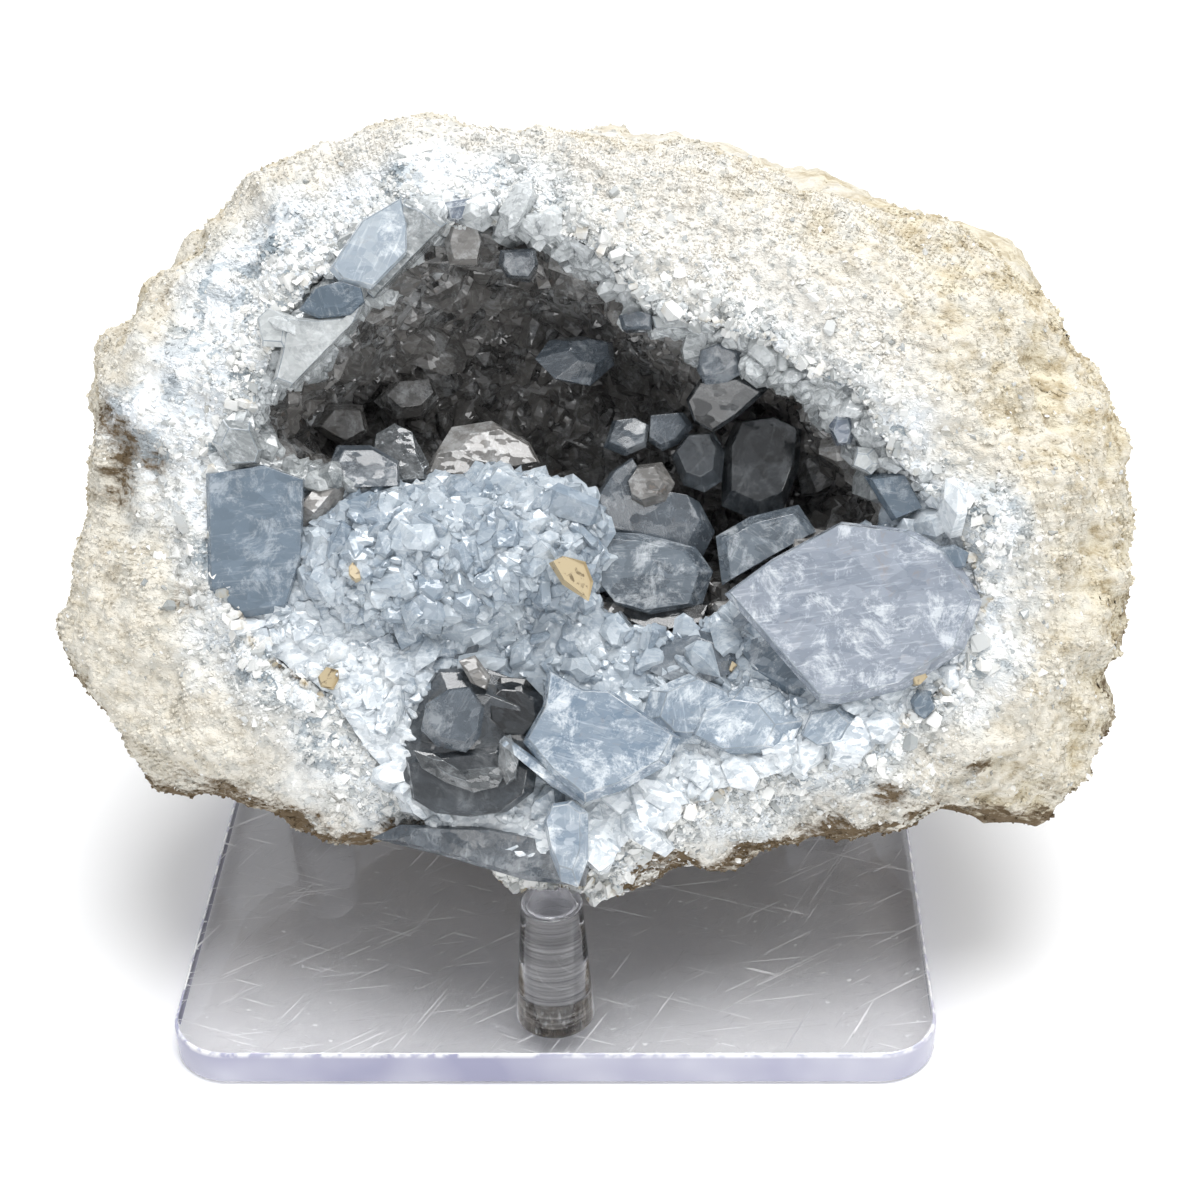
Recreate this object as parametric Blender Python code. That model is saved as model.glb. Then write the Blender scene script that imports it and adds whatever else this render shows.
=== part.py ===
"""Celestite geode standing on a clear three-peg stand.

The broken face of the nodule has its own axes: u runs across to the right, v up
along the face and w straight back into the stone. The face leans back, so its
hollow looks forward and up. Everything else is in the world's axes, with the
origin in the middle of the stand plate's underside.
"""

import math

import bmesh
import bpy
import numpy as np
from mathutils import Matrix, Vector

MM = 0.001

# Stand plate, from its underside up
PLATE_WIDTH = 127 * MM
PLATE_DEPTH = 89 * MM
PLATE_THICKNESS = 6.35 * MM
PLATE_CORNER_RADIUS = 10 * MM
PLATE_EDGE_BEVEL = 0.8 * MM

# Pegs, wider at the foot than at the rounded top
PEG_FOOT_RADIUS = 6.5 * MM
PEG_TOP_RADIUS = 5 * MM
PEG_RIM_ROUND = 1 * MM
PEG_TOP_HEIGHT = 31 * MM
PEG_FRONT_SETBACK = 10 * MM
PEG_REAR_SETBACK = 67 * MM
PEG_REAR_SPREAD = 47 * MM
PEG_SIDES = 20

# The thin gap kept between solids that touch
GAP = 0.3 * MM

# Stone: where its broken face is, and how far it bulges in front and behind
FACE_CENTRE = Vector((7.9, -3.6, 87.0)) * MM
FACE_LEAN = math.radians(32.4)
WIDEST_DEPTH = 12 * MM
FRONT_BULGE = 22 * MM
BACK_BULGE = 76 * MM
BACK_RISE = 0.3
FRONT_FULLNESS = 2.6
BACK_FULLNESS = 2.15

# Radii of the stone, the hollow and the open space in it, every 15 degrees
# from the right, counter-clockwise, in the plane of the face, in millimetres
STONE_OUTLINE = (
    87, 83.5, 79, 68, 61.5, 59.5, 61, 62, 71.5, 76.5, 81.5, 85,
    84, 92, 84, 73, 65.5, 60, 62, 64, 62, 75, 90, 87.5,
)
HOLLOW_OUTLINE = (
    58, 49, 46, 41.5, 38.5, 38.5, 45, 52, 57, 58, 57, 58,
    58, 54, 47, 47, 50, 49, 49, 43, 43, 48, 56, 61,
)
SPACE_OUTLINE = (
    39, 31, 22, 19, 18.5, 19, 22, 28, 34, 36, 38, 40,
    40, 28, 16, 13, 12, 13.5, 20, 26, 29, 31, 34, 38,
)
HOLLOW_CENTRE = (-1.4, -6.5)
SPACE_CENTRE = (-1.4, 10.8)
HOLLOW_DEPTH = 52 * MM
SPACE_DEPTH = 38 * MM
CUTTER_REACH = 60 * MM
LINING_FRONT = 3 * MM
HOLLOW_LUMPS = 1.5 * MM
SPACE_LUMPS = 2 * MM
POCKET_LUMP_LENGTH = 16 * MM
# Powers that make the pockets and the shelf blunter than an ellipsoid
POCKET_SIDE_POWER = 0.7
POCKET_END_POWER = 0.85
SHELF_POWER = 0.8

# How far the stone's underside reaches below the peg tops before its small rests are cut
REST_DEPTH = 1.5 * MM

# Columns and rows of faces on the stone, on its hollow and on the shelf
STONE_GRID = (54, 27)
POCKET_GRID = (28, 14)
SHELF_GRID = (16, 8)

# Lumps, ledges and pits of the outer stone: size, and how far apart
LUMP_HEIGHT = 2.2 * MM
LUMP_LENGTH = 30 * MM
KNOB_HEIGHT = 1.1 * MM
KNOB_LENGTH = 12 * MM
LEDGE_HEIGHT = 1.3 * MM
LEDGE_SPACING = 8 * MM

# Pits and bulges of the stone: u, v, w of the middle, width and height in mm
STONE_SPOTS = (
    (-79, 9, 10, 5, -3.5),
    (-76, 3, 6, 4, -3),
    (-84, 24, 20, 9, 2.5),
    (58, -54, 14, 8, -4),
    (65, -55, 14, 7, 3),
    (-60, -42, 2, 14, 2),
    (30, 58, 30, 16, 3),
    (-45, -20, 82, 20, 4),
    (20, 30, 88, 22, -4),
)

# Crystals placed by hand: u, v, w of the tip and the half width, half breadth
# and length in mm; how far the axis leans to +u and +v on its way to the front;
# the turn about it in degrees; and how much of the width and breadth stays flat
CRYSTALS = (
    # large clear block at the right and the tablet at the left
    (39, -17, -8, 17, 14, 24, -0.15, 0.15, -52, 0.86, 0.80),
    (-54, -7, -6, 8, 12.5, 15, 0.10, 0.10, 8, 0.85, 0.85),
    # dark and pale blocks at the lower lip
    (-20, -38, -7, 12, 12, 22, 0.10, 0.35, 15, 0.60, 0.75),
    (1, -37, -9, 12, 10, 22, 0.05, 0.20, -42, 0.70, 0.80),
    (-5.4, -53, -9, 3.4, 6.5, 14, 0.00, 0.20, 5, 0.50, 0.60),
    (-16, -52, -6, 9, 4, 14, 0.10, 0.10, -6, 0.80, 0.70),
    # floor of the hollow, from the middle to the right
    (8, -8, 8, 10.5, 12, 24, -0.20, 0.50, 20, 0.60, 0.60),
    (29, 7, 14, 4.8, 8, 22, 0.00, 0.30, 5, 0.60, 0.70),
    (8, 3, 6, 3.6, 3.5, 16, 0.10, 0.30, 30, 0.30, 0.30),
    (16, 5, 9, 4.8, 3.4, 18, -0.10, 0.40, 12, 0.50, 0.40),
    (1, -26, 0, 3.6, 7.5, 16, 0.20, 0.30, -35, 0.60, 0.70),
    (11, -25, 2, 5, 5, 16, -0.10, 0.20, 25, 0.50, 0.50),
    (23, -35, -4, 7, 5, 16, 0.00, 0.40, 10, 0.40, 0.50),
    (31, -37, -4, 5, 4.5, 14, 0.20, 0.20, -20, 0.40, 0.40),
    (19, -42, -6, 5, 4, 14, -0.20, 0.10, 35, 0.40, 0.40),
    (23, -4, 13, 7, 6, 18, 0.10, 0.50, -15, 0.50, 0.50),
    (39, 5, 18, 6.5, 5, 18, -0.30, 0.30, 40, 0.50, 0.40),
    (20, -18, 6, 6, 5, 16, 0.20, 0.40, 60, 0.50, 0.40),
    # back of the shelf and the left of the hollow
    (-33, 9, 4, 3.6, 3.8, 14, 0.00, 0.80, 20, 0.20, 0.30),
    (-25, 8, 8, 7, 4, 16, 0.20, 0.50, -10, 0.60, 0.50),
    (-10, 10, 12, 6.5, 4, 18, 0.10, 0.50, 15, 0.50, 0.40),
    (-42, 4, 6, 5, 4, 16, 0.40, 0.40, 30, 0.50, 0.40),
    (-33, 19, 18, 5.4, 4.4, 18, 0.30, 0.00, 10, 0.30, 0.40),
    (-4, 24, 16, 6.6, 4, 18, 0.10, -0.60, -8, 0.30, 0.40),
    # upper rim, from the left to the right
    (-34, 38, -8, 9, 5, 16, 0.10, -0.10, 42, 0.85, 0.80),
    (-41, 31, -8, 5, 3.2, 14, 0.30, -0.20, 25, 0.60, 0.50),
    (-47, 21, -8, 4.6, 4.6, 14, 0.30, -0.10, 45, 0.60, 0.60),
    (-49, 10, -6, 4.5, 4, 14, 0.30, 0.00, 15, 0.50, 0.50),
    (-23, 40, -4, 4, 3.4, 14, 0.10, -0.50, 20, 0.60, 0.50),
    (-12.5, 37, -2, 3.4, 2.8, 14, 0.10, -0.60, 10, 0.60, 0.60),
    (-1, 34, -2, 3.4, 2.8, 14, 0.00, -0.60, -15, 0.60, 0.60),
    (4, 30, -3, 4.4, 2.6, 14, 0.00, -0.50, 5, 0.70, 0.50),
    (13, 27, -3, 4.6, 2, 14, 0.10, -0.50, -3, 0.85, 0.60),
    (25, 24, -3, 8, 4, 16, 0.00, -0.50, -8, 0.60, 0.50),
    # right rim, down to the block
    (36.5, 15, -3, 3.8, 5.5, 14, -0.30, -0.30, 15, 0.50, 0.60),
    (42, 7, -4, 3.2, 3.4, 14, -0.40, -0.10, 30, 0.40, 0.40),
    (47, 1, -5, 4.8, 4.2, 15, -0.30, 0.00, 10, 0.70, 0.70),
    (54, -9, -6, 4, 3, 14, -0.30, 0.10, 5, 0.60, 0.50),
)
CRYSTAL_TIP_SLOPE = math.radians(48)
EDGE_KEPT = 0.86

# Shelf of small crystals at the left: middle, half sizes in mm, turn in degrees
SHELF_MIDDLE = (-24, -9, 4)
SHELF_HALF_SIZE = (25, 12, 13)
SHELF_TURN = 6

# Druses of small crystals: kind, how many, and half width from and to in mm
DRUSES = (
    ("shelf", 24, 2.6, 4.6),
    ("space", 24, 3.0, 5.0),
    ("floor", 27, 2.6, 4.4),
)
DRUSE_SEED = 71
DRUSE_STAND = 2 * MM


def clear_scene():
    for item in list(bpy.data.objects):
        bpy.data.objects.remove(item, do_unlink=True)


def make_collection(name):
    collection = bpy.data.collections.new(name)
    bpy.context.scene.collection.children.link(collection)
    return collection


def make_material(name, colour, roughness, transmission=0.0, ior=1.5):
    material = bpy.data.materials.new(name)
    material.use_nodes = True
    shader = material.node_tree.nodes["Principled BSDF"]
    shader.inputs["Base Color"].default_value = (*colour, 1.0)
    shader.inputs["Roughness"].default_value = roughness
    shader.inputs["Metallic"].default_value = 0.0
    shader.inputs["Transmission Weight"].default_value = transmission
    shader.inputs["IOR"].default_value = ior
    material.diffuse_color = (*colour, 1.0)
    return material


def make_object(name, bm, collection, material=None):
    mesh = bpy.data.meshes.new(name)
    bm.to_mesh(mesh)
    bm.free()
    if material:
        mesh.materials.append(material)
    item = bpy.data.objects.new(name, mesh)
    collection.objects.link(item)
    return item


def as_cutter(item):
    item.hide_render = True
    item.display_type = "WIRE"
    return item


# Places in the face's own axes

FACE_AXES = np.array((
    (1.0, 0.0, 0.0),
    (0.0, math.sin(FACE_LEAN), math.cos(FACE_LEAN)),
    (0.0, math.cos(FACE_LEAN), -math.sin(FACE_LEAN)),
))


def to_world(uvw):
    """World places of rows of u, v, w in metres."""
    return np.array(FACE_CENTRE) + np.asarray(uvw) @ FACE_AXES


def to_face(points):
    """Rows of u, v, w of world places."""
    return (np.asarray(points) - np.array(FACE_CENTRE)) @ FACE_AXES.T


def radius_at(outline, angle):
    """Smooth closed curve through evenly spaced radii, in metres."""
    values = np.array(outline) * MM
    count = len(values)
    place = np.mod(angle, 2 * math.pi) / (2 * math.pi) * count
    first = np.floor(place).astype(int)
    t = place - first
    a, b, c, d = (values[(first + step) % count] for step in (-1, 0, 1, 2))
    return b + 0.5 * t * (c - a + t * (2 * a - 5 * b + 4 * c - d + t * (3 * (b - c) + d - a)))


def waves(points, length, seed, count=14):
    """Sum of cosines in random directions, about -1 to 1, with that wavelength."""
    dice = np.random.default_rng(seed)
    ways = dice.normal(size=(count, 3))
    ways /= np.linalg.norm(ways, axis=1)[:, None]
    ways *= 2 * math.pi / length * dice.uniform(0.7, 1.4, count)[:, None]
    phases = dice.uniform(0, 2 * math.pi, count)
    return np.cos(points @ ways.T + phases).sum(axis=1) / math.sqrt(2 * count)


def smooth_step(value, start, end):
    t = np.clip((value - start) / (end - start), 0.0, 1.0)
    return t * t * (3 - 2 * t)


# The stone

def stone_surface(directions):
    """u, v, w of the stone's outside along unit directions from its middle.

    Each half is a superellipsoid on the outline, and the back half rises as it
    goes back. Lumps, ledges, pits and the rests on the pegs are added on it.
    """
    across, up, back = directions.T
    flat = np.hypot(across, up)
    turn = np.arctan2(up, across)
    fullness = np.where(back < 0, FRONT_FULLNESS, BACK_FULLNESS)
    bulge = np.where(back < 0, FRONT_BULGE, BACK_BULGE)
    reach = radius_at(STONE_OUTLINE, turn) * flat ** (2 / fullness)
    depth = np.sign(back) * bulge * np.abs(back) ** (2 / fullness)
    rise = BACK_RISE * np.maximum(depth, 0)
    uvw = np.column_stack((reach * np.cos(turn), reach * np.sin(turn) + rise, WIDEST_DEPTH + depth))
    return uvw + directions * stone_relief(uvw)[:, None]


def stone_relief(uvw):
    """How far lumps, ledges and pits lift the stone's outside."""
    u, v, w = uvw.T
    relief = LUMP_HEIGHT * waves(uvw, LUMP_LENGTH, seed=3)
    relief += KNOB_HEIGHT * waves(uvw, KNOB_LENGTH, seed=8)
    layer = (v + 0.25 * w) / LEDGE_SPACING + 0.5 * waves(uvw, 60 * MM, seed=5)
    ledged = smooth_step(u, 20 * MM, 50 * MM)
    relief += LEDGE_HEIGHT * ledged * (np.mod(layer, 1.0) ** 2 - 0.4)
    for spot_u, spot_v, spot_w, width, height in STONE_SPOTS:
        away = np.linalg.norm(uvw - np.array((spot_u, spot_v, spot_w)) * MM, axis=1)
        relief += height * MM * np.exp(-((away / (width * MM)) ** 2))
    return relief


def ball(columns, rows):
    bm = bmesh.new()
    bmesh.ops.create_uvsphere(bm, u_segments=columns, v_segments=rows, radius=1.0)
    bmesh.ops.triangulate(bm, faces=bm.faces)
    return bm


def place_vertices(bm, uvw):
    """Move a ball's vertices to rows of u, v, w, which are left-handed axes."""
    for vertex, place in zip(bm.verts, to_world(uvw)):
        vertex.co = place
    bmesh.ops.reverse_faces(bm, faces=bm.faces)


def unit_directions(bm):
    return np.array([vertex.co for vertex in bm.verts])


def offset(bm, distance):
    """Move each vertex out along its normal."""
    bm.normal_update()
    moved = [vertex.co + vertex.normal * distance for vertex in bm.verts]
    for vertex, place in zip(bm.verts, moved):
        vertex.co = place


def stone_body(grow=0.0):
    bm = ball(*STONE_GRID)
    uvw = stone_surface(unit_directions(bm))
    uvw = settle_on_pegs(uvw)
    place_vertices(bm, uvw)
    offset(bm, grow)
    return bm


def settle_on_pegs(uvw):
    """Bring the underside to just below the peg tops where it rests on them."""
    points = to_world(uvw)
    height = points[:, 2]
    under = smooth_step(-height, -44 * MM, -36 * MM)
    for peg_x, peg_y in peg_places():
        away = np.hypot(points[:, 0] - peg_x, points[:, 1] - peg_y)
        near = under * smooth_step(-away, -18 * MM, -7 * MM)
        height += near * (PEG_TOP_HEIGHT - REST_DEPTH - height)
    return to_face(points)


def pocket(outline, centre, front, back, roughness, seed, grow=0.0):
    """Closed lumpy body with that outline in the face's plane."""
    bm = ball(*POCKET_GRID)
    directions = unit_directions(bm)
    across, up, depth = directions.T
    flat = np.hypot(across, up)
    turn = np.arctan2(up, across)
    bulge = np.where(depth < 0, front, back)
    reach = radius_at(outline, turn) * flat ** POCKET_SIDE_POWER
    uvw = np.column_stack((
        centre[0] * MM + reach * np.cos(turn),
        centre[1] * MM + reach * np.sin(turn),
        np.sign(depth) * bulge * np.abs(depth) ** POCKET_END_POWER,
    ))
    lumps = waves(uvw, POCKET_LUMP_LENGTH, seed) * smooth_step(uvw[:, 2], -12 * MM, 0)
    uvw += directions * (roughness * lumps)[:, None]
    place_vertices(bm, uvw)
    offset(bm, grow)
    return bm


def hollow_body(grow=0.0):
    return pocket(HOLLOW_OUTLINE, HOLLOW_CENTRE, CUTTER_REACH, HOLLOW_DEPTH, HOLLOW_LUMPS, 21, grow)


def space_body():
    return pocket(SPACE_OUTLINE, SPACE_CENTRE, CUTTER_REACH, SPACE_DEPTH, SPACE_LUMPS, 34)


def lining_body():
    """The hollow's own form, a little larger, so that the stone trims it to fit."""
    return pocket(HOLLOW_OUTLINE, HOLLOW_CENTRE, LINING_FRONT, HOLLOW_DEPTH, HOLLOW_LUMPS, 21,
                  2 * MM)


# Crystals

def crystal(bm, tip, axis, turn, half_width, half_breadth, length, flat_width, flat_breadth,
            cut_edges=True):
    """One flat-faced crystal: a bar with a four-sided roof and its long edges cut."""
    part = bmesh.new()
    bmesh.ops.create_cube(part, size=1.0)
    for vertex in part.verts:
        x, y, z = vertex.co
        vertex.co = (x * 2 * half_width, y * 2 * half_breadth, (z - 0.5) * length)
    cuts = []
    for side in (-1, 1):
        slope_out, slope_up = math.sin(CRYSTAL_TIP_SLOPE), math.cos(CRYSTAL_TIP_SLOPE)
        cuts.append(((side * half_width * flat_width, 0, 0), (side * slope_out, 0, slope_up)))
        cuts.append(((0, side * half_breadth * flat_breadth, 0), (0, side * slope_out, slope_up)))
        if not cut_edges:
            continue
        for other in (-1, 1):
            edge = Vector((side * half_breadth, other * half_width, 0)).normalized()
            corner = (side * half_width * EDGE_KEPT, other * half_breadth * EDGE_KEPT, 0)
            cuts.append((corner, edge))
    for place, normal in cuts:
        cut = bmesh.ops.bisect_plane(
            part, geom=part.verts[:] + part.edges[:] + part.faces[:],
            dist=1e-6, plane_co=place, plane_no=normal, clear_outer=True)
        rim = [item for item in cut["geom_cut"] if isinstance(item, bmesh.types.BMEdge)]
        if rim:
            bmesh.ops.holes_fill(part, edges=rim)
    facing = Vector(axis).normalized()
    frame = facing.to_track_quat("Z", "Y").to_matrix().to_4x4()
    frame = Matrix.Translation(tip) @ frame @ Matrix.Rotation(turn, 4, "Z")
    bmesh.ops.transform(part, matrix=frame, verts=part.verts)
    bmesh.ops.recalc_face_normals(part, faces=part.faces)
    piece = bpy.data.meshes.new("crystal")
    part.to_mesh(piece)
    part.free()
    bm.from_mesh(piece)
    bpy.data.meshes.remove(piece)


def face_direction(lean_u, lean_v):
    """World direction towards the front of the face, leaning by u and v."""
    return Vector(np.array((lean_u, lean_v, -1.0)) @ FACE_AXES).normalized()


def large_crystals(bm):
    for u, v, w, width, breadth, length, lean_u, lean_v, turn, flat_u, flat_v in CRYSTALS:
        tip = Vector(to_world(np.array((u, v, w)) * MM))
        axis = face_direction(lean_u, lean_v)
        crystal(bm, tip, axis, math.radians(turn), width * MM, breadth * MM, length * MM,
                flat_u, flat_v)


def shelf_surface(directions):
    """u, v, w of the shelf's blunt, turned ellipsoid along unit directions."""
    turn = math.radians(SHELF_TURN)
    local = np.sign(directions) * np.abs(directions) ** SHELF_POWER
    local *= np.array(SHELF_HALF_SIZE) * MM
    u = local[:, 0] * math.cos(turn) - local[:, 1] * math.sin(turn)
    v = local[:, 0] * math.sin(turn) + local[:, 1] * math.cos(turn)
    return np.column_stack((u, v, local[:, 2])) + np.array(SHELF_MIDDLE) * MM


def shelf_body():
    bm = ball(*SHELF_GRID)
    place_vertices(bm, shelf_surface(unit_directions(bm)))
    return bm


def random_directions(dice, count, depth_sign):
    ways = dice.normal(size=(count, 3))
    ways[:, 2] = depth_sign * np.abs(ways[:, 2])
    return ways / np.linalg.norm(ways, axis=1)[:, None]


def shelf_druse(dice, count):
    """Crystals stand all over the front of the shelf."""
    ways = spread_out(random_directions(dice, count * 5, -1), count)
    return shelf_surface(ways) + ways * DRUSE_STAND, ways


def space_druse(dice, count):
    """Crystals line the walls of the open space and point into it."""
    ways = spread_out(random_directions(dice, count * 5, 1), count)
    turn = np.arctan2(ways[:, 1], ways[:, 0])
    reach = radius_at(SPACE_OUTLINE, turn) * np.hypot(ways[:, 0], ways[:, 1]) ** POCKET_SIDE_POWER
    places = np.column_stack((
        SPACE_CENTRE[0] * MM + reach * np.cos(turn),
        SPACE_CENTRE[1] * MM + reach * np.sin(turn),
        SPACE_DEPTH * ways[:, 2] ** POCKET_END_POWER,
    ))
    return places - ways * DRUSE_STAND * 1.5, -ways


def floor_druse(dice, count):
    """Crystals cover the front of the lining, between the hollow's edge and the space."""
    tries = count * 12
    turn = dice.uniform(0, 2 * math.pi, tries)
    reach = radius_at(HOLLOW_OUTLINE, turn) * dice.uniform(0.4, 0.9, tries)
    places = np.column_stack((
        HOLLOW_CENTRE[0] * MM + reach * np.cos(turn),
        HOLLOW_CENTRE[1] * MM + reach * np.sin(turn),
        dice.uniform(-6, -4, tries) * MM,
    ))
    across, up = (places[:, :2] - np.array(SPACE_CENTRE) * MM).T
    solid = np.hypot(across, up) > radius_at(SPACE_OUTLINE, np.arctan2(up, across)) * 1.05
    places = spread_out(places[solid], count)
    inward = (np.array(HOLLOW_CENTRE) * MM - places[:, :2]) / (60 * MM)
    return places, np.column_stack((inward * 0.6, -np.ones(count)))


def spread_out(rows, count):
    """Keep that many rows, each as far as it can be from those kept before."""
    kept = [0]
    nearest = np.linalg.norm(rows - rows[0], axis=1)
    while len(kept) < count:
        kept.append(int(nearest.argmax()))
        nearest = np.minimum(nearest, np.linalg.norm(rows - rows[kept[-1]], axis=1))
    return rows[kept]


def small_crystals(bm):
    dice = np.random.default_rng(DRUSE_SEED)
    druses = {"shelf": shelf_druse, "space": space_druse, "floor": floor_druse}
    for kind, count, least, most in DRUSES:
        places, ways = druses[kind](dice, count)
        for place, way in zip(places, ways):
            width = dice.uniform(least, most) * MM
            breadth = width * dice.uniform(0.6, 1.0)
            tilt = dice.normal(size=3) * 0.3
            axis = (way / np.linalg.norm(way) + tilt) @ FACE_AXES
            crystal(bm, Vector(to_world(place)), axis, dice.uniform(0, math.pi), width, breadth,
                    width * 3, dice.uniform(0.1, 0.5), dice.uniform(0.1, 0.5), cut_edges=False)


# Joining and cutting

def combine(item, operation, other, own_crossings=False):
    """Apply one exact Boolean and remove the other object."""
    modifier = item.modifiers.new(operation.title(), "BOOLEAN")
    modifier.operation = operation
    modifier.solver = "EXACT"
    modifier.use_self = own_crossings
    modifier.object = other
    graph = bpy.context.evaluated_depsgraph_get()
    result = bpy.data.meshes.new_from_object(item.evaluated_get(graph))
    item.modifiers.clear()
    item.data = result
    bpy.data.objects.remove(other, do_unlink=True)


def keep_largest_piece(item):
    bm = bmesh.new()
    bm.from_mesh(item.data)
    bmesh.ops.remove_doubles(bm, verts=bm.verts, dist=0.01 * MM)
    bmesh.ops.triangulate(bm, faces=bm.faces)
    bm.verts.ensure_lookup_table()
    group = {}
    groups = []
    for start in bm.verts:
        if start in group:
            continue
        found = [start]
        group[start] = len(groups)
        for vertex in found:
            for edge in vertex.link_edges:
                other = edge.other_vert(vertex)
                if other not in group:
                    group[other] = len(groups)
                    found.append(other)
        groups.append(found)
    largest = max(groups, key=len)
    loose = [vertex for found in groups if found is not largest for vertex in found]
    bmesh.ops.delete(bm, geom=loose, context="VERTS")
    bm.to_mesh(item.data)
    bm.free()


# Stand

def peg_places():
    front = -PLATE_DEPTH / 2
    rear_y = front + PEG_REAR_SETBACK
    return (
        (0.0, front + PEG_FRONT_SETBACK),
        (-PEG_REAR_SPREAD, rear_y),
        (PEG_REAR_SPREAD, rear_y),
    )


def stand_plate(collection, material):
    bm = bmesh.new()
    bmesh.ops.create_cube(bm, size=1.0)
    for vertex in bm.verts:
        x, y, z = vertex.co
        vertex.co = (x * PLATE_WIDTH, y * PLATE_DEPTH, (z + 0.5) * PLATE_THICKNESS)
    upright = [edge for edge in bm.edges if abs(edge.verts[0].co.z - edge.verts[1].co.z) > MM]
    bmesh.ops.bevel(bm, geom=upright, offset=PLATE_CORNER_RADIUS, segments=6,
                    profile=0.5, affect="EDGES")
    rims = [edge for edge in bm.edges if abs(edge.verts[0].co.z - edge.verts[1].co.z) < MM]
    bmesh.ops.bevel(bm, geom=rims, offset=PLATE_EDGE_BEVEL, segments=1,
                    profile=0.5, affect="EDGES")
    return make_object("stand_plate", bm, collection, material)


def peg(name, place, collection, material, grow=0.0):
    foot = PLATE_THICKNESS + GAP
    height = PEG_TOP_HEIGHT + grow - foot
    bm = bmesh.new()
    bmesh.ops.create_cone(
        bm, cap_ends=True, segments=PEG_SIDES, depth=height,
        radius1=PEG_FOOT_RADIUS + grow, radius2=PEG_TOP_RADIUS + grow,
        matrix=Matrix.Translation((*place, foot + height / 2)))
    rim = [edge for edge in bm.edges if min(v.co.z for v in edge.verts) > foot + height / 2]
    bmesh.ops.bevel(bm, geom=rim, offset=PEG_RIM_ROUND, segments=2, profile=0.5, affect="EDGES")
    item = make_object(name, bm, collection, material)
    item.data.shade_smooth()
    item.data.set_sharp_from_angle(angle=math.radians(40))
    return item


def cut_peg_rests(item, cutters):
    for place in peg_places():
        combine(item, "DIFFERENCE", as_cutter(peg("peg_rest", place, cutters, None, GAP)))


# The geode's two pieces

def rock_shell(collection, cutters, material):
    rock = make_object("rock_shell", stone_body(), collection, material)
    hollow = as_cutter(make_object("hollow", hollow_body(), cutters))
    combine(rock, "DIFFERENCE", hollow)
    cut_peg_rests(rock, cutters)
    keep_largest_piece(rock)
    return rock


def crystal_crust(collection, cutters, material):
    lining = lining_body()
    crust = make_object("crystal_crust", lining, collection, material)
    space = as_cutter(make_object("space", space_body(), cutters))
    combine(crust, "DIFFERENCE", space)
    shelf = as_cutter(make_object("shelf", shelf_body(), cutters))
    combine(crust, "UNION", shelf)
    bm = bmesh.new()
    large_crystals(bm)
    small_crystals(bm)
    crystals = as_cutter(make_object("crystals", bm, cutters))
    combine(crust, "UNION", crystals, own_crossings=True)
    surround = as_cutter(make_object("surround", stone_body(GAP), cutters))
    hollow = as_cutter(make_object("hollow", hollow_body(-GAP), cutters))
    combine(surround, "DIFFERENCE", hollow)
    combine(crust, "DIFFERENCE", surround)
    cut_peg_rests(crust, cutters)
    keep_largest_piece(crust)
    return crust


def main():
    clear_scene()
    geode = make_collection("celestite_geode")
    cutters = make_collection("cutters")
    stone = make_material("cream_host_rock", (0.80, 0.76, 0.68), 0.9)
    celestite = make_material("celestite", (0.62, 0.70, 0.78), 0.15, 0.6, 1.62)
    acrylic = make_material("clear_acrylic", (0.90, 0.90, 0.93), 0.05, 0.9, 1.49)
    rock_shell(geode, cutters, stone)
    crystal_crust(geode, cutters, celestite)
    stand_plate(geode, acrylic)
    names = ("stand_peg_front", "stand_peg_rear_left", "stand_peg_rear_right")
    for name, place in zip(names, peg_places()):
        peg(name, place, geode, acrylic)


main()
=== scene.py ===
"""Celestite geode on a clear stand: fine surfaces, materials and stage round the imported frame."""

import math

import bpy
import numpy as np
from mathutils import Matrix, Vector


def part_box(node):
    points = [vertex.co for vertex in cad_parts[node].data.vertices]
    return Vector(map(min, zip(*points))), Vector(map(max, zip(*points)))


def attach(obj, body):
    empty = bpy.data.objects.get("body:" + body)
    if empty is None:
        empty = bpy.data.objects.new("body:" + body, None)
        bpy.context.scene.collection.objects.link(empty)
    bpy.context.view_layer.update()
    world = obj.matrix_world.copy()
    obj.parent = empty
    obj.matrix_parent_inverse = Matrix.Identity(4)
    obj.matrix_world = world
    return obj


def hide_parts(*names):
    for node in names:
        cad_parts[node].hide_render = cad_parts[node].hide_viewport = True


bl_info = {
    "name": "Celestite geode",
    "version": (1, 0, 0),
    "blender": (4, 5, 0),
    "location": "3D View > Sidebar > Geode",
    "description": "Builds a celestite geode standing on a clear three-peg stand",
    "category": "Add Mesh",
}

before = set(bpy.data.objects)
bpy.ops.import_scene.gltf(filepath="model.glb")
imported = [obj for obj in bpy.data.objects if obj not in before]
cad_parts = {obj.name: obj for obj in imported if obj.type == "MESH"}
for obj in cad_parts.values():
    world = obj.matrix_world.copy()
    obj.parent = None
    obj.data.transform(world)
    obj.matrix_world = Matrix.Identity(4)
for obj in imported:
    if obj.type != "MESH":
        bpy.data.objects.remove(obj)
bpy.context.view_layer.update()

MM = 0.001

# Stand: its boxes are read from the frame
PLATE_LOW, PLATE_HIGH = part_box("stand_plate")
PEG_NODES = ("stand_peg_front", "stand_peg_rear_left", "stand_peg_rear_right")
PEG_BOXES = {node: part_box(node) for node in PEG_NODES}
PEG_TOP_RADIUS = 5 * MM
REST_DEPTH = 1.5 * MM
REST_RADIUS = PEG_TOP_RADIUS + 1.2 * MM
REST_GAP = 0.3 * MM

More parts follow.
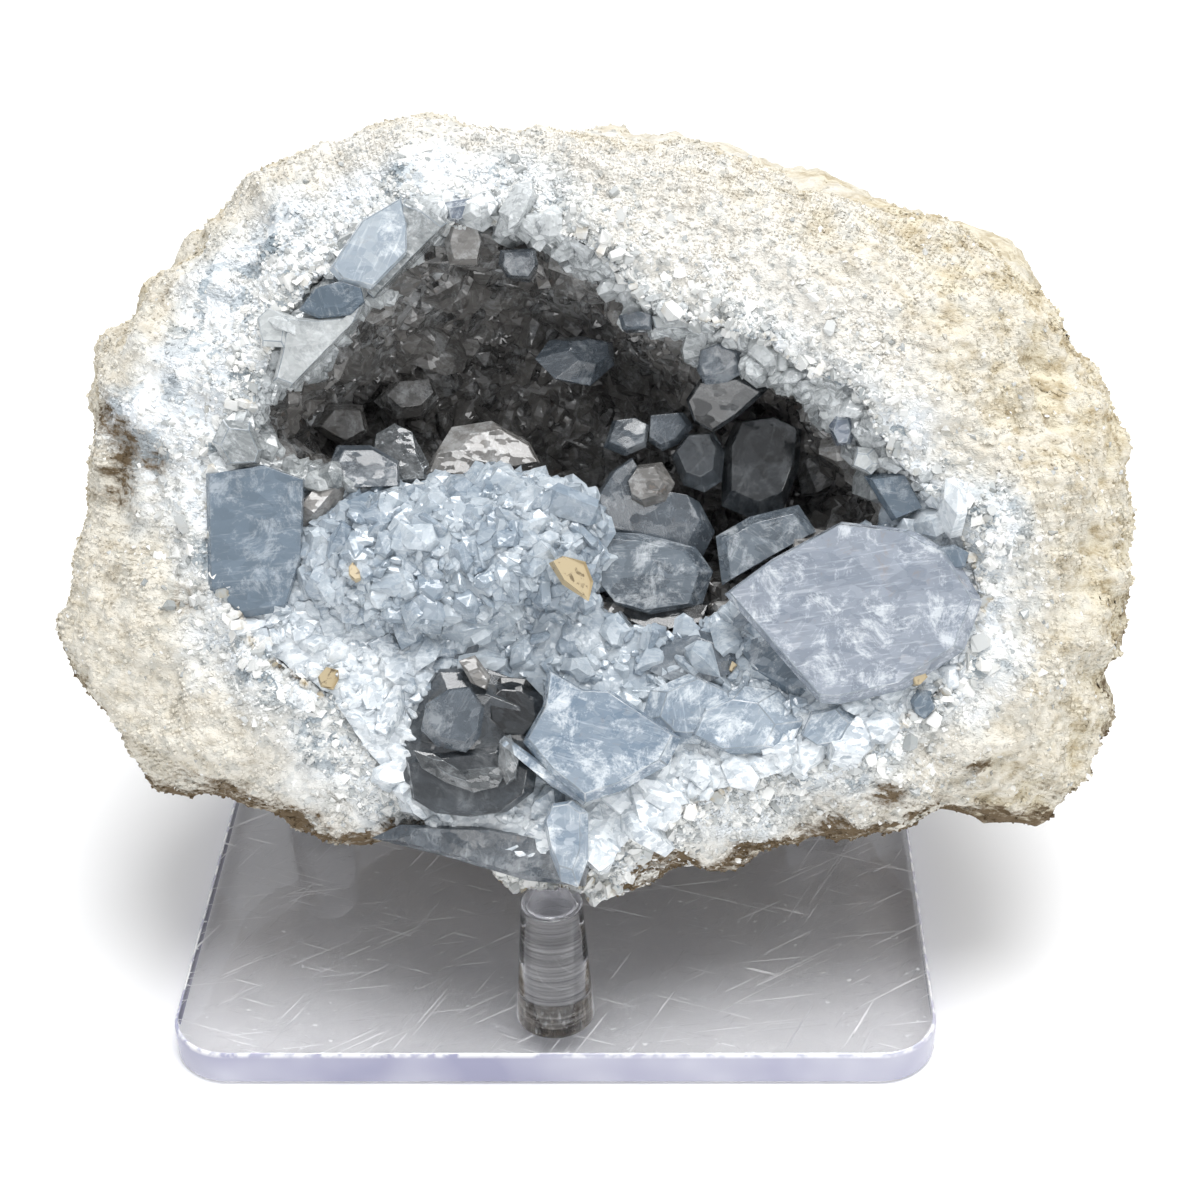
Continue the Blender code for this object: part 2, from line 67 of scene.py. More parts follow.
# The stone's face: u to the right, v up along it, w back into the stone
FACE_CENTRE = np.array((7.9, -3.6, 87.0)) * MM
FACE_LEAN = math.radians(32.4)
FACE_AXES = np.array((
    (1.0, 0.0, 0.0),
    (0.0, math.sin(FACE_LEAN), math.cos(FACE_LEAN)),
    (0.0, math.cos(FACE_LEAN), -math.sin(FACE_LEAN)),
))
WIDEST_DEPTH = 12 * MM
FRONT_BULGE = 22 * MM
BACK_BULGE = 76 * MM
BACK_RISE = 0.3
FRONT_FULLNESS = 2.6
BACK_FULLNESS = 2.15

# Radii every 15 degrees in the plane of the face, from the right, counter-clockwise, in mm
STONE_OUTLINE = (
    87, 83.5, 79, 68, 61.5, 59.5, 61, 62, 71.5, 76.5, 81.5, 85,
    84, 92, 84, 73, 65.5, 60, 62, 64, 62, 75, 90, 87.5,
)
HOLLOW_OUTLINE = (
    58, 49, 46, 41.5, 38.5, 38.5, 45, 52, 57, 58, 57, 58,
    58, 54, 47, 47, 50, 49, 49, 43, 43, 48, 56, 61,
)
SPACE_OUTLINE = (
    40.5, 34.5, 22, 20.5, 19.6, 22, 26, 31, 38, 39.5, 40.5, 46,
    51, 34, 18, 14, 13, 16, 26, 33, 35, 36, 40, 49,
)
HOLLOW_CENTRE = np.array((-1.4, -6.5)) * MM
SPACE_CENTRE = np.array((-1.4, 10.8)) * MM
HOLLOW_DEPTH = 52 * MM
SPACE_DEPTH = 38 * MM
POCKET_SIDE_POWER = 0.7
POCKET_END_POWER = 0.85

# Pits and bulges of the stone: u, v, w of the middle, width and height in mm
STONE_SPOTS = (
    (-79, 9, 10, 5, -3.5),
    (-76, 3, 6, 4, -3),
    (-84, 24, 20, 9, 2.5),
    (58, -54, 14, 8, -4),
    (65, -55, 14, 7, 3),
    (-60, -42, 2, 14, 2),
    (30, 58, 30, 16, 3),
    (-45, -20, 82, 20, 4),
    (20, 30, 88, 22, -4),
)

# Small dirty pits that only the fine surface has: u, v, w, width and height in mm
FINE_PITS = (
    (-75, 9, 0, 3.8, -2.0),
    (-77, 3, 1, 3.2, -1.6),
    (-71, 6, -1, 2.4, -1.0),
    (-79, 14, 2, 3.0, -0.8),
    (-71, 34, 0, 2.0, -1.2),
    (-66, -16, -6, 2.2, -1.0),
    (45, 46, -4, 1.6, -1.0),
    (72, 12, -2, 1.6, -1.0),
)

SHELF_MIDDLE = np.array((-24, -9, 4)) * MM
SHELF_HALF_SIZE = np.array((25, 12, 13)) * MM
SHELF_TURN = math.radians(6)
SHELF_POWER = 0.8

# Crystals that stand out: kind, w of the front and drop of the shoulder behind it in mm, share of
# the outline that the front keeps, slope of the front along u and v, depth, and the outline's
# corners u, v in mm, counter-clockwise
SHAPED_CRYSTALS = (
    # right block
    ("veiled", -8, 2, 0.93, 0.02, 0.03, 20,
     ((34.6, -31.9), (37.4, -32.1), (47.7, -29.9), (57.2, -23.7), (60.1, -15.9), (55.5, -8.4),
      (48.8, -4.7), (38.0, -3.5), (27.0, -9.4), (19.6, -14.8))),
    # tablet
    ("blue", -6, 1.2, 0.94, 0.05, 0, 12,
     ((-61.2, -14.6), (-56.4, -18.7), (-49.2, -17.5), (-46.7, -9.6), (-46.2, 3.2), (-52.6, 5.5),
      (-61.6, 4.1))),
    # dark block
    ("glassy", -6, 3, 0.8, 0.05, -0.1, 20,
     ((-30.3, -47.2), (-25.0, -49.4), (-16.2, -49.5), (-10.7, -46.5), (-9.2, -42.3), (-8.2, -33.1),
      (-11.4, -28.9), (-17.6, -26.5), (-25.0, -26.5), (-27.8, -30.9), (-32.9, -43.3))),
    # dark block front
    ("glassy", -8, 1.5, 0.88, 0, 0.1, 14,
     ((-25.4, -49.0), (-19.9, -49.6), (-14.3, -48.9), (-10.1, -45.7), (-9.4, -41.5), (-15.3, -38.4),
      (-24.6, -39.5), (-30.2, -40.3), (-29.1, -46.7))),
    # dark block top
    ("glassy", -5, 1.5, 0.85, 0.25, 0.25, 14,
     ((-20.2, -39.4), (-15.8, -34.7), (-17.1, -27.8), (-22.6, -26.6), (-26.8, -30.8), (-27.9, -37.9))),
    # dark block head
    ("glassy", -6.5, 1.5, 0.75, 0.1, 0.15, 12,
     ((-17.3, -34.0), (-14.6, -36.8), (-10.7, -37.1), (-8.5, -34.0), (-8.8, -30.9), (-11.5, -28.1),
      (-15.4, -27.8), (-17.9, -30.0))),
    # dark block facet
    ("streaked", -8.5, 1.2, 0.8, -0.1, 0.1, 8,
     ((-27.7, -36.1), (-25.2, -38.6), (-20.5, -39.5), (-18.3, -37.0), (-17.7, -32.7), (-19.9, -29.2),
      (-23.3, -29.6), (-27.0, -32.0))),
    # dark block crescent
    ("clear", -9.2, 0.6, 0.5, 0, 0.1, 6,
     ((-27.3, -41.9), (-23.5, -44.1), (-19.2, -45.6), (-15.5, -44.7), (-13.9, -41.6), (-15.8, -43.2),
      (-19.2, -43.8), (-22.3, -41.6), (-25.7, -39.6), (-28.8, -39.1))),
    # dark block sliver
    ("clear", -9.4, 0.6, 0.5, 0.1, 0, 6,
     ((-15.5, -41.3), (-14.2, -44.4), (-12.7, -43.5), (-12.2, -40.1), (-13.6, -36.6),
      (-15.2, -37.3))),
    # dark block chip
    ("smoky", -8, 1, 0.6, 0.3, 0.2, 6,
     ((-19.9, -28.6), (-17.4, -29.9), (-16.8, -27.7), (-19.3, -24.3), (-21.8, -25.2))),
    # pale block
    ("pale", -9, 2, 0.9, 0.05, 0.18, 20,
     ((-7.4, -43.0), (-2.0, -47.2), (3.7, -45.4), (10.8, -41.5), (13.0, -37.3), (6.5, -33.0),
      (1.9, -29.9), (-2.5, -29.7), (-8.1, -26.4), (-8.7, -32.3), (-11.8, -37.8))),
    # blade
    ("pale", -9, 0.8, 0.7, 0.1, 0.1, 10,
     ((-7.4, -44.6), (-2.3, -47.7), (-1.6, -46.9), (-5.9, -43.0), (-14.6, -36.8), (-15.5, -37.8))),
    # lip slab
    ("streaked", -5, 1.5, 0.85, 0, -0.25, 12,
     ((-24.9, -56.0), (-11.4, -60.1), (-2.2, -61.1), (-1.4, -57.0), (-7.3, -53.5), (-18.6, -51.3),
      (-31.2, -51.0), (-35.9, -53.2))),
    # lip tooth
    ("pale", -10, 1.5, 0.75, 0.1, 0, 12,
     ((-7.4, -55.3), (-5.8, -59.5), (-3.1, -60.4), (-1.5, -56.1), (-1.5, -48.7), (-4.0, -46.8),
      (-7.1, -47.3), (-8.5, -50.2))),
    # floor crystal top
    ("streaked", 6, 3, 0.8, 0.1, -0.15, 20,
     ((-0.5, -6.2), (6.3, -7.5), (16.0, -9.8), (18.6, -4.6), (16.0, 0.3), (8.7, 1.6), (5.0, 7.4),
      (1.5, 5.1), (-1.8, -0.0))),
    # floor crystal face
    ("cloudy", 2, 2.5, 0.85, 0.15, 0.1, 20,
     ((-0.0, -13.5), (2.4, -16.5), (8.0, -18.1), (16.3, -16.9), (18.2, -11.1), (15.3, -7.1),
      (6.4, -5.0), (-0.4, -4.7), (-1.6, -8.7))),
    # floor crystal foot
    ("glassy", 4, 2, 0.8, 0, 0.35, 18,
     ((-0.4, -17.8), (7.1, -21.4), (16.6, -19.4), (17.9, -15.9), (7.9, -15.9), (-0.1, -14.3))),
    # back block
    ("glassy", 9, 2.5, 0.8, 0.1, 0.05, 20,
     ((19.6, -0.4), (25.2, -2.7), (29.9, -0.7), (32.4, 6.1), (32.9, 12.3), (28.3, 14.5), (21.8, 13.5),
      (19.6, 8.6))),
    # back knob
    ("glassy", 6, 2, 0.7, -0.1, 0.1, 14,
     ((13.3, 2.9), (16.8, 1.7), (19.6, 3.5), (20.1, 8.4), (18.4, 11.6), (14.1, 11.3), (11.3, 7.6))),
    # round crystal
    ("smoky", 4, 2, 0.7, 0.1, 0, 14,
     ((4.9, 0.5), (7.1, -0.8), (10.5, 0.2), (12.0, 3.1), (9.9, 6.6), (6.0, 6.1), (4.2, 3.4))),
    # roof slab
    ("glassy", 0, 1.5, 0.85, 0.1, -0.3, 12,
     ((15.1, 12.7), (18.2, 11.1), (22.6, 14.0), (27.1, 18.1), (22.6, 20.2), (15.9, 19.4), (13.7, 16.2))),
    # blue stub
    ("streaked", 7, 1.5, 0.8, 0, 0.2, 12,
     ((3.9, 7.6), (7.3, 9.1), (7.9, 12.7), (5.6, 14.0), (1.8, 13.5), (0.3, 9.1))),
    # grey stub
    ("streaked", 8, 1.5, 0.8, 0.1, 0.1, 12,
     ((9.9, 8.5), (12.8, 9.8), (15.1, 12.6), (13.4, 15.0), (7.9, 14.4), (7.6, 10.1))),
    # under block
    ("cloudy", 3, 2, 0.8, 0.1, 0.1, 16,
     ((19.5, -13.5), (27.5, -8.8), (34.9, -4.7), (32.0, -0.3), (24.0, -2.3), (18.5, -5.5))),
    # long crystal
    ("streaked", 0, 2, 0.75, 0.2, 0.2, 14,
     ((-1.6, -28.3), (1.9, -32.6), (5.8, -31.0), (6.4, -26.2), (4.0, -22.3), (-1.2, -19.6),
      (-3.6, -22.3))),
    # mid crystal
    ("glassy", 1, 2, 0.8, 0, 0.25, 14,
     ((-12.0, -28.7), (-8.3, -24.7), (-8.8, -20.7), (-12.8, -19.4), (-17.6, -21.5), (-18.2, -25.8))),
    # small block
    ("streaked", -3, 1.5, 0.8, 0, 0.2, 12,
     ((-18.5, -26.6), (-18.5, -22.2), (-22.0, -20.3), (-25.8, -21.9), (-26.4, -26.6))),
    # shaded block
    ("streaked", 2, 2, 0.8, 0, 0.2, 14,
     ((-8.8, -21.0), (-4.8, -20.4), (-0.4, -15.9), (-1.6, -11.9), (-7.7, -10.8), (-11.2, -14.3),
      (-12.8, -19.1))),
    # pale stub a
    ("pale", -5, 2, 0.75, 0.1, 0.1, 14,
     ((9.6, -38.2), (15.9, -38.6), (22.1, -34.7), (20.6, -30.0), (14.3, -27.2), (8.0, -30.0),
      (6.5, -35.0))),
    # pale stub b
    ("pale", -6, 2, 0.7, 0, 0.2, 14,
     ((20.5, -40.1), (29.9, -39.4), (32.3, -34.7), (28.4, -30.0), (22.9, -29.2), (16.6, -31.8),
      (14.3, -37.0))),
    # pale stub c
    ("pale", -6, 2, 0.75, -0.1, 0.1, 14,
     ((34.6, -39.0), (39.3, -38.1), (41.2, -34.4), (38.5, -31.5), (33.4, -32.8), (31.5, -37.0))),
    # grey rest
    ("streaked", -2, 2, 0.8, -0.1, 0.2, 14,
     ((14.3, -30.1), (21.4, -27.3), (22.2, -22.2), (15.9, -19.9), (8.8, -22.2), (6.4, -26.7))),
    # block foot
    ("blue", -2, 2, 0.8, -0.3, 0.1, 14,
     ((24.6, -28.6), (31.7, -32.5), (34.1, -30.1), (25.4, -17.5), (21.4, -15.9), (20.6, -22.2))),
    # rim right
    ("blue", -4, 1.5, 0.85, -0.1, 0, 14,
     ((46.2, -3.3), (50.9, -1.3), (47.8, 4.7), (41.8, 3.9))),
    # rim drop a
    ("veiled", -4, 1.5, 0.6, -0.1, -0.2, 12,
     ((37.6, 8.6), (39.8, 8.8), (40.7, 11.6), (39.8, 14.9), (37.1, 14.8), (36.2, 11.6))),
    # rim drop b
    ("sugar", -5, 1.2, 0.6, -0.1, -0.1, 12,
     ((42.8, 3.9), (44.6, 5.7), (43.3, 8.1), (40.6, 8.4), (39.7, 5.3))),
    # oval right
    ("blue", -7, 0.8, 0.85, 0, 0, 10,
     ((54.0, -11.4), (57.3, -10.6), (57.9, -8.4), (55.6, -7.0), (52.6, -7.5), (51.8, -9.7))),
    # dark chip right
    ("blue", -6, 1, 0.8, 0, 0, 10,
     ((49.3, -33.4), (51.0, -34.5), (52.9, -32.5), (52.1, -30.0), (49.9, -29.7), (48.8, -31.5))),
    # upper left face
    ("pale", -8.5, 0.6, 0.93, 0.06, -0.06, 10,
     ((-40.2, 33.6), (-35.3, 32.5), (-29.8, 38.1), (-29.7, 42.8), (-30.6, 46.8), (-36.8, 43.1),
      (-41.9, 35.6))),
    # upper left edge
    ("sugar", -7.5, 0.8, 0.92, 0.15, -0.2, 10,
     ((-29.9, 38.3), (-36.2, 32.1), (-35.2, 31.3), (-29.0, 37.7), (-23.6, 43.1), (-27.0, 45.6),
      (-29.9, 46.5))),
    # oval left
    ("blue", -8.5, 0.5, 0.92, 0, -0.05, 10,
     ((-43.5, 28.0), (-38.5, 28.5), (-36.3, 30.5), (-36.8, 32.7), (-40.2, 33.8), (-44.0, 32.7),
      (-46.6, 29.3))),
    # lower left edge
    ("sugar", -7.5, 0.8, 0.9, 0.1, -0.25, 10,
     ((-49.7, 22.7), (-51.0, 18.4), (-48.3, 17.4), (-43.0, 22.7), (-37.6, 28.0), (-36.2, 31.0),
      (-38.7, 28.6), (-43.6, 28.0), (-48.6, 28.3))),
    # left ice
    ("sugar", -8.5, 0.6, 0.85, 0, 0, 10,
     ((-52.2, 23.7), (-48.8, 23.5), (-48.1, 28.2), (-51.2, 29.7), (-53.1, 27.9))),
    # left shard
    ("sugar", -7, 1, 0.75, 0.2, 0, 10,
     ((-58.2, 5.3), (-53.5, 5.6), (-52.8, 7.8), (-54.6, 12.2), (-58.7, 12.5), (-60.3, 9.0))),
    # terminated
    ("clear", 2, 2, 0.45, 0, 0.2, 14,
     ((-34.4, 2.7), (-27.6, 3.0), (-27.6, 6.2), (-30.4, 11.3), (-33.3, 12.7), (-36.2, 11.0),
      (-36.7, 6.5))),
    # shelf back left
    ("streaked", -1, 1.5, 0.85, 0, 0.35, 14,
     ((-39.6, 1.9), (-31.7, 2.2), (-32.0, 6.3), (-36.7, 9.0), (-42.1, 9.0), (-44.0, 3.5))),
    # shelf back mid
    ("smoky", 3, 1.5, 0.8, 0.1, 0.35, 14,
     ((-19.6, 3.4), (-19.0, 6.2), (-22.9, 8.5), (-27.0, 7.8), (-28.3, 4.0))),
    # shelf back long
    ("smoky", 8, 2, 0.75, 0.1, 0.3, 16,
     ((-16.5, 5.3), (-10.0, 6.6), (-11.9, 10.1), (-18.1, 13.7), (-24.6, 12.6), (-27.4, 7.7))),
    # hollow knob
    ("smoky", 18, 2.5, 0.7, 0.1, 0.1, 16,
     ((-35.3, 14.5), (-30.7, 15.2), (-27.8, 18.4), (-29.0, 21.6), (-35.7, 20.9), (-38.7, 17.6))),
    # hollow eye
    ("streaked", 14, 2, 0.5, 0.3, 0.2, 16,
     ((-7.9, 20.8), (-2.1, 19.8), (1.9, 23.5), (1.6, 27.4), (-3.7, 28.3), (-9.0, 27.4), (-11.2, 24.1))),
    # hollow left
    ("smoky", 16, 2.5, 0.7, 0.1, 0.1, 16,
     ((-43.7, 9.9), (-39.4, 12.4), (-40.4, 17.0), (-46.2, 17.4), (-49.6, 13.2))),
    # top cube a
    ("smoky", -2, 1.5, 0.8, 0, -0.3, 12,
     ((-24.0, 37.6), (-19.5, 37.6), (-18.6, 41.0), (-19.8, 45.0), (-23.6, 44.5), (-24.7, 41.0))),
    # top cube b
    ("streaked", -3, 1.5, 0.8, 0, -0.25, 12,
     ((-14.7, 35.5), (-11.2, 35.2), (-9.7, 37.4), (-10.1, 39.9), (-15.7, 39.6), (-16.0, 37.4))),
    # top drop
    ("veiled", -5, 1.5, 0.6, 0, -0.2, 12,
     ((-24.0, 44.0), (-22.1, 43.7), (-19.0, 45.3), (-20.2, 47.5), (-24.6, 46.8))),
    # top bar
    ("sugar", -4, 0.8, 0.85, 0, -0.1, 10,
     ((8.8, 27.0), (16.2, 27.2), (15.9, 29.4), (8.2, 29.1))),
    # top prism
    ("streaked", -4, 1, 0.8, 0, -0.2, 10,
     ((3.6, 26.9), (8.3, 26.9), (8.6, 29.1), (6.4, 29.7), (3.0, 29.1))),
    # top hang
    ("streaked", -3, 1.5, 0.7, 0, -0.2, 12,
     ((16.7, 18.2), (20.3, 18.8), (24.1, 21.0), (23.5, 23.2), (19.4, 25.1), (15.9, 23.8), (15.4, 20.7))),
)

# Iron-stained chips: u, v, w of the middle, half width and half breadth in mm
STAINED_CHIPS = (
    (-3.6, -11.5, -9.5, 4.0, 3.2),
    (-37.5, -11.5, -10.5, 1.3, 1.0),
    (-42.0, -28.0, -6.5, 1.5, 1.6),
    (50.0, -27.5, -7.0, 1.6, 1.1),
    (20.5, -26.0, -2.0, 1.0, 1.0),
)

# The camera, in the place that the stand's edges and vanishing lines give
CAMERA_PLACE = (18.9 * MM, -307.5 * MM, 261.2 * MM)
CAMERA_LENS = 66.0
CAMERA_SHIFT = -0.0575


def linear(code):
    """The linear colour, with alpha 1, of an sRGB hex code."""
    channels = [int(code[place:place + 2], 16) / 255 for place in (1, 3, 5)]
    bright = [c / 12.92 if c <= 0.04045 else ((c + 0.055) / 1.055) ** 2.4 for c in channels]
    return (*bright, 1.0)


def colour(name, description, code):
    """A colour that the user can change."""
    return bpy.props.FloatVectorProperty(
        name=name, description=description, subtype="COLOR", size=4, min=0.0, max=1.0,
        default=linear(code))


def length(name, description, default):
    """A length that the user can change."""
    return bpy.props.FloatProperty(
        name=name, description=description, default=default, min=0.0, unit="LENGTH",
        subtype="DISTANCE")


class GeodeSizes(bpy.types.PropertyGroup):
    """Sizes of the geode's fine surface."""

    coarse_grain: length("Coarse grain", "Size of the rock's coarse grains", 3.2 * MM)
    fine_grain: length("Fine grain", "Size of the rock's fine grains", 1.2 * MM)
    lip_round: length("Lip", "How far the rim rolls into the hollow", 6 * MM)
    edge_wear: length("Edge wear", "Width of the large crystals' worn edges", 0.13 * MM)
    sugar_count: bpy.props.IntProperty(
        name="Sugar grains", description="Small white crystals round the mouth", default=8000,
        min=1)
    dust_count: bpy.props.IntProperty(
        name="Sugar dust", description="Tiny grains all over the rim", default=20000, min=1)


class GeodeColours(bpy.types.PropertyGroup):
    """Colours of the rock, the crystals and the stand."""

    rock: colour("Rock", "Sugary host rock", "#cfccc5")
    rock_grey: colour("Half-clear grains", "Grey grains among the white ones", "#94999a")
    # Cream of the weathered rock, also painted shade on the sides and where the stone turns away
    rock_cream_and_shade: colour("Cream", "Weathered rock away from the mouth", "#c9c1ac")
    # Tan stain, also painted shade in the low places, on the sides and where the stone turns away
    rock_stain_and_shade: colour("Stain", "Tan stain between the grains", "#a09070")
    # Brown dirt of the pits; under the stone, along its lower edges and in low places it is painted
    # shade
    rock_dirt_and_shade: colour("Dirt", "Brown dirt in pits and under the stone", "#5d4d36")
    milky: colour("Milky celestite", "Pale crystals full of veils", "#d3dce3")
    blue: colour("Blue celestite", "Blue-grey crystals", "#8c9dad")
    smoky: colour("Smoky celestite", "Smoky crystals deep in the hollow", "#a5a29e")
    chip: colour("Stained chip", "Iron-stained chips", "#a8997b")
    acrylic: colour("Acrylic", "Clear sheet of the stand", "#fafafc")


# Forms in the face's axes

def unit(vectors):
    """The same vectors, each of length 1."""
    return vectors / np.linalg.norm(vectors, axis=1)[:, None]


def to_world(uvw):
    """World places of rows of u, v, w in metres."""
    return FACE_CENTRE + uvw @ FACE_AXES


def to_face(points):
    """Rows of u, v, w of world places."""
    return (points - FACE_CENTRE) @ FACE_AXES.T


def radius_at(outline, angle):
    """Radius of a closed Catmull-Rom curve through evenly spaced radii, in metres."""
    values = np.array(outline) * MM
    count = len(values)
    place = np.mod(angle, 2 * math.pi) / (2 * math.pi) * count
    first = np.floor(place).astype(int)
    t = place - first
    a, b, c, d = (values[(first + step) % count] for step in (-1, 0, 1, 2))
    return b + 0.5 * t * (c - a + t * (2 * a - 5 * b + 4 * c - d + t * (3 * (b - c) + d - a)))


def waves(points, wavelength, seed, count=14):
    """Sum of cosines along random directions, about -1 to 1."""
    dice = np.random.default_rng(seed)
    ways = unit(dice.normal(size=(count, 3)))
    ways *= 2 * math.pi / wavelength * dice.uniform(0.7, 1.4, count)[:, None]
    phases = dice.uniform(0, 2 * math.pi, count)
    return np.cos(points @ ways.T + phases).sum(axis=1) / math.sqrt(2 * count)


def grain_noise(points, size, seed):
    """Random values on a cubic lattice, blended with the cubic 3t^2 - 2t^3 between its corners."""
    table = np.random.default_rng(seed).uniform(-1, 1, (32, 32, 32))
    place = points / size
    corner = np.floor(place).astype(int)
    t = place - corner
    t = t * t * (3 - 2 * t)
    total = np.zeros(len(points))
    for step in np.ndindex(2, 2, 2):
        share = np.prod(np.where(step, t, 1 - t), axis=1)
        x, y, z = ((corner + step) % 32).T
        total += share * table[x, y, z]
    return total


def smooth_step(value, start, end):
    """The cubic 3t^2 - 2t^3 from 0 at the start to 1 at the end, flat beyond both."""
    t = np.clip((value - start) / (end - start), 0.0, 1.0)
    return t * t * (3 - 2 * t)


def spot_sum(uvw, spots):
    """Sum of Gaussian spots, each its height times e^-(distance / width)^2, in mm."""
    total = np.zeros(len(uvw))
    for *middle, width, height in spots:
        away = np.linalg.norm(uvw - np.array(middle) * MM, axis=1)
        total += height * np.exp(-((away / (width * MM)) ** 2))
    return total


def stone_relief(uvw):
    """Lumps and knobs from waves, ledges as a saw-tooth of height, and the stone's spots."""
    u, v, w = uvw.T
    relief = 2.2 * MM * waves(uvw, 30 * MM, seed=3)
    relief += 1.1 * MM * waves(uvw, 12 * MM, seed=8)
    layer = (v + 0.25 * w) / (8 * MM) + 0.5 * waves(uvw, 60 * MM, seed=5)
    relief += 0.6 * MM * smooth_step(u, 20 * MM, 50 * MM) * (np.mod(layer, 1.0) ** 2 - 0.4)
    return relief + MM * spot_sum(uvw, STONE_SPOTS)


def stone_surface(directions):
    """Two half superellipsoids on the stone's outline, the back one rising, with its relief."""
    across, up, back = directions.T
    flat = np.hypot(across, up)
    turn = np.arctan2(up, across)
    fullness = np.where(back < 0, FRONT_FULLNESS, BACK_FULLNESS)
    bulge = np.where(back < 0, FRONT_BULGE, BACK_BULGE)
    reach = radius_at(STONE_OUTLINE, turn) * flat ** (2 / fullness)
    depth = np.sign(back) * bulge * np.abs(back) ** (2 / fullness)
    rise = BACK_RISE * np.maximum(depth, 0)
    uvw = np.column_stack((reach * np.cos(turn), reach * np.sin(turn) + rise, WIDEST_DEPTH + depth))
    return uvw + directions * stone_relief(uvw)[:, None]


def box_middle(low, high):
    """Middle of a box in plan, on the ground."""
    return np.array(((low.x + high.x) / 2, (low.y + high.y) / 2, 0.0))


def peg_tops(points):
    """For each peg, the height of its top and how far the points are from its axis."""
    for low, high in PEG_BOXES.values():
        away = (points - box_middle(low, high))[:, :2]
        yield high.z, np.hypot(away[:, 0], away[:, 1])


def settle_on_pegs(points):
    """Bring the underside to just below the peg tops where it rests on them.

    That is wholly so under 36 mm high and within 7 mm of a peg's axis, and fades out up to
    44 mm high and 18 mm away.
    """
    height = points[:, 2]
    under = smooth_step(-height, -44 * MM, -36 * MM)
    for top, away in peg_tops(points):
        near = under * smooth_step(-away, -18 * MM, -7 * MM)
        height += near * (top - REST_DEPTH - height)


def clear_of_pegs(points):
    """Flatten the stone into its small rests just above the peg tops."""
    for top, away in peg_tops(points):
        floor = top + REST_GAP
        over = (away < REST_RADIUS) & (points[:, 2] < floor)
        points[:, 2] = np.where(over, floor, points[:, 2])


# Meshes from arrays

def ring_faces(rows, columns):
    """Triangles of a grid closed round its columns, with one pole before and one after its rows."""
    row, column = np.meshgrid(np.arange(rows - 1), np.arange(columns), indexing="ij")
    a = 1 + row * columns + column
    b = 1 + row * columns + (column + 1) % columns
    walls = np.stack((a, b, b + columns, a, b + columns, a + columns), axis=-1).reshape(-1, 3)
    around = np.arange(columns)
    beside = (around + 1) % columns
    last = 1 + (rows - 1) * columns
    first_cap = np.column_stack((np.zeros_like(around), 1 + beside, 1 + around))
    last_cap = np.column_stack((np.full_like(around, last + columns), last + around, last + beside))
    return np.vstack((first_cap, walls, last_cap))


def outward(points, faces):
    """The same triangles, turned over if the volume that they enclose comes out negative."""
    a, b, c = (points[faces[:, corner]] for corner in range(3))
    return faces if np.einsum("ij,ij->i", a, np.cross(b, c)).sum() > 0 else faces[:, ::-1]


def point_normals(points, faces):
    """Area-weighted normals of the points."""
    a, b, c = (points[faces[:, corner]] for corner in range(3))
    facing = np.cross(b - a, c - a)
    total = np.zeros_like(points)
    for corner in range(3):
        for axis in range(3):
            total[:, axis] += np.bincount(faces[:, corner], facing[:, axis], len(points))
    return total / np.maximum(np.linalg.norm(total, axis=1), 1e-12)[:, None]


def scatter(points, faces, count, dice):
    """Places and normals on the triangles, as many to each as its area asks."""
    a, b, c = (points[faces[:, corner]] for corner in range(3))
    facing = np.cross(b - a, c - a)
    area = np.linalg.norm(facing, axis=1)
    picked = dice.choice(len(faces), count, p=area / area.sum())
    s, t = dice.uniform(0, 1, (2, count, 1))
    over = s + t > 1
    s, t = np.where(over, 1 - s, s), np.where(over, 1 - t, t)
    places = a[picked] * (1 - s - t) + b[picked] * s + c[picked] * t
    return places, facing[picked] / area[picked, None]


def make_piece(name, points, faces, material, smooth=False, replaced=(), fields=None):
    """A mesh object from arrays, with point attributes, riding on the root body."""
    mesh = bpy.data.meshes.new(name)
    faces = np.ascontiguousarray(outward(points, faces), dtype=np.int32)
    mesh.vertices.add(len(points))
    mesh.vertices.foreach_set("co", points.astype(np.float32).ravel())
    mesh.loops.add(faces.size)
    mesh.loops.foreach_set("vertex_index", faces.ravel())
    mesh.polygons.add(len(faces))
    mesh.polygons.foreach_set("loop_start", np.arange(0, faces.size, 3, dtype=np.int32))
    mesh.update(calc_edges=True)
    for field, values in (fields or {}).items():
        attribute = mesh.attributes.new(field, "FLOAT", "POINT")
        attribute.data.foreach_set("value", np.asarray(values, dtype=np.float32))
    mesh.polygons.foreach_set("use_smooth", np.full(len(faces), smooth))
    mesh.materials.append(material)
    piece = bpy.data.objects.new(name, mesh)
    bpy.context.scene.collection.objects.link(piece)
    if replaced:
        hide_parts(*replaced)
    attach(piece, "root")
    return piece


def join(groups):
    """One set of points, triangles and shades from several."""
    starts = np.cumsum([0] + [len(points) for points, _, _ in groups[:-1]])
    points = np.vstack([points for points, _, _ in groups])
    faces = np.vstack([faces + start for (_, faces, _), start in zip(groups, starts)])
    return points, faces, np.concatenate([shade for _, _, shade in groups])


# Crystals as arrays

ROUGH_SECTION = np.array(((1, -0.35), (1, 0.45), (0.1, 1), (-1, 0.5), (-1, -0.4), (0, -1)))
GRAIN_SECTION = np.array(((1, -0.3), (0.5, 1), (-0.8, 0.7), (-0.7, -0.8)))
ROOF_SLOPE = math.radians(50)
# World up, tipped a little so that no crystal's axis lies along it
NEARLY_UP = np.array((0.0, 0.013, 1.0))


def crystal_frames(axes, turns):
    """Right-handed frames whose last row is the axis and whose middle row leans to world up."""
    up = unit(NEARLY_UP - axes * (axes @ NEARLY_UP)[:, None])
    side = np.cross(up, axes)
    cos, sin = np.cos(turns)[:, None], np.sin(turns)[:, None]
    return np.stack((side * cos + up * sin, up * cos - side * sin, axes), axis=1)


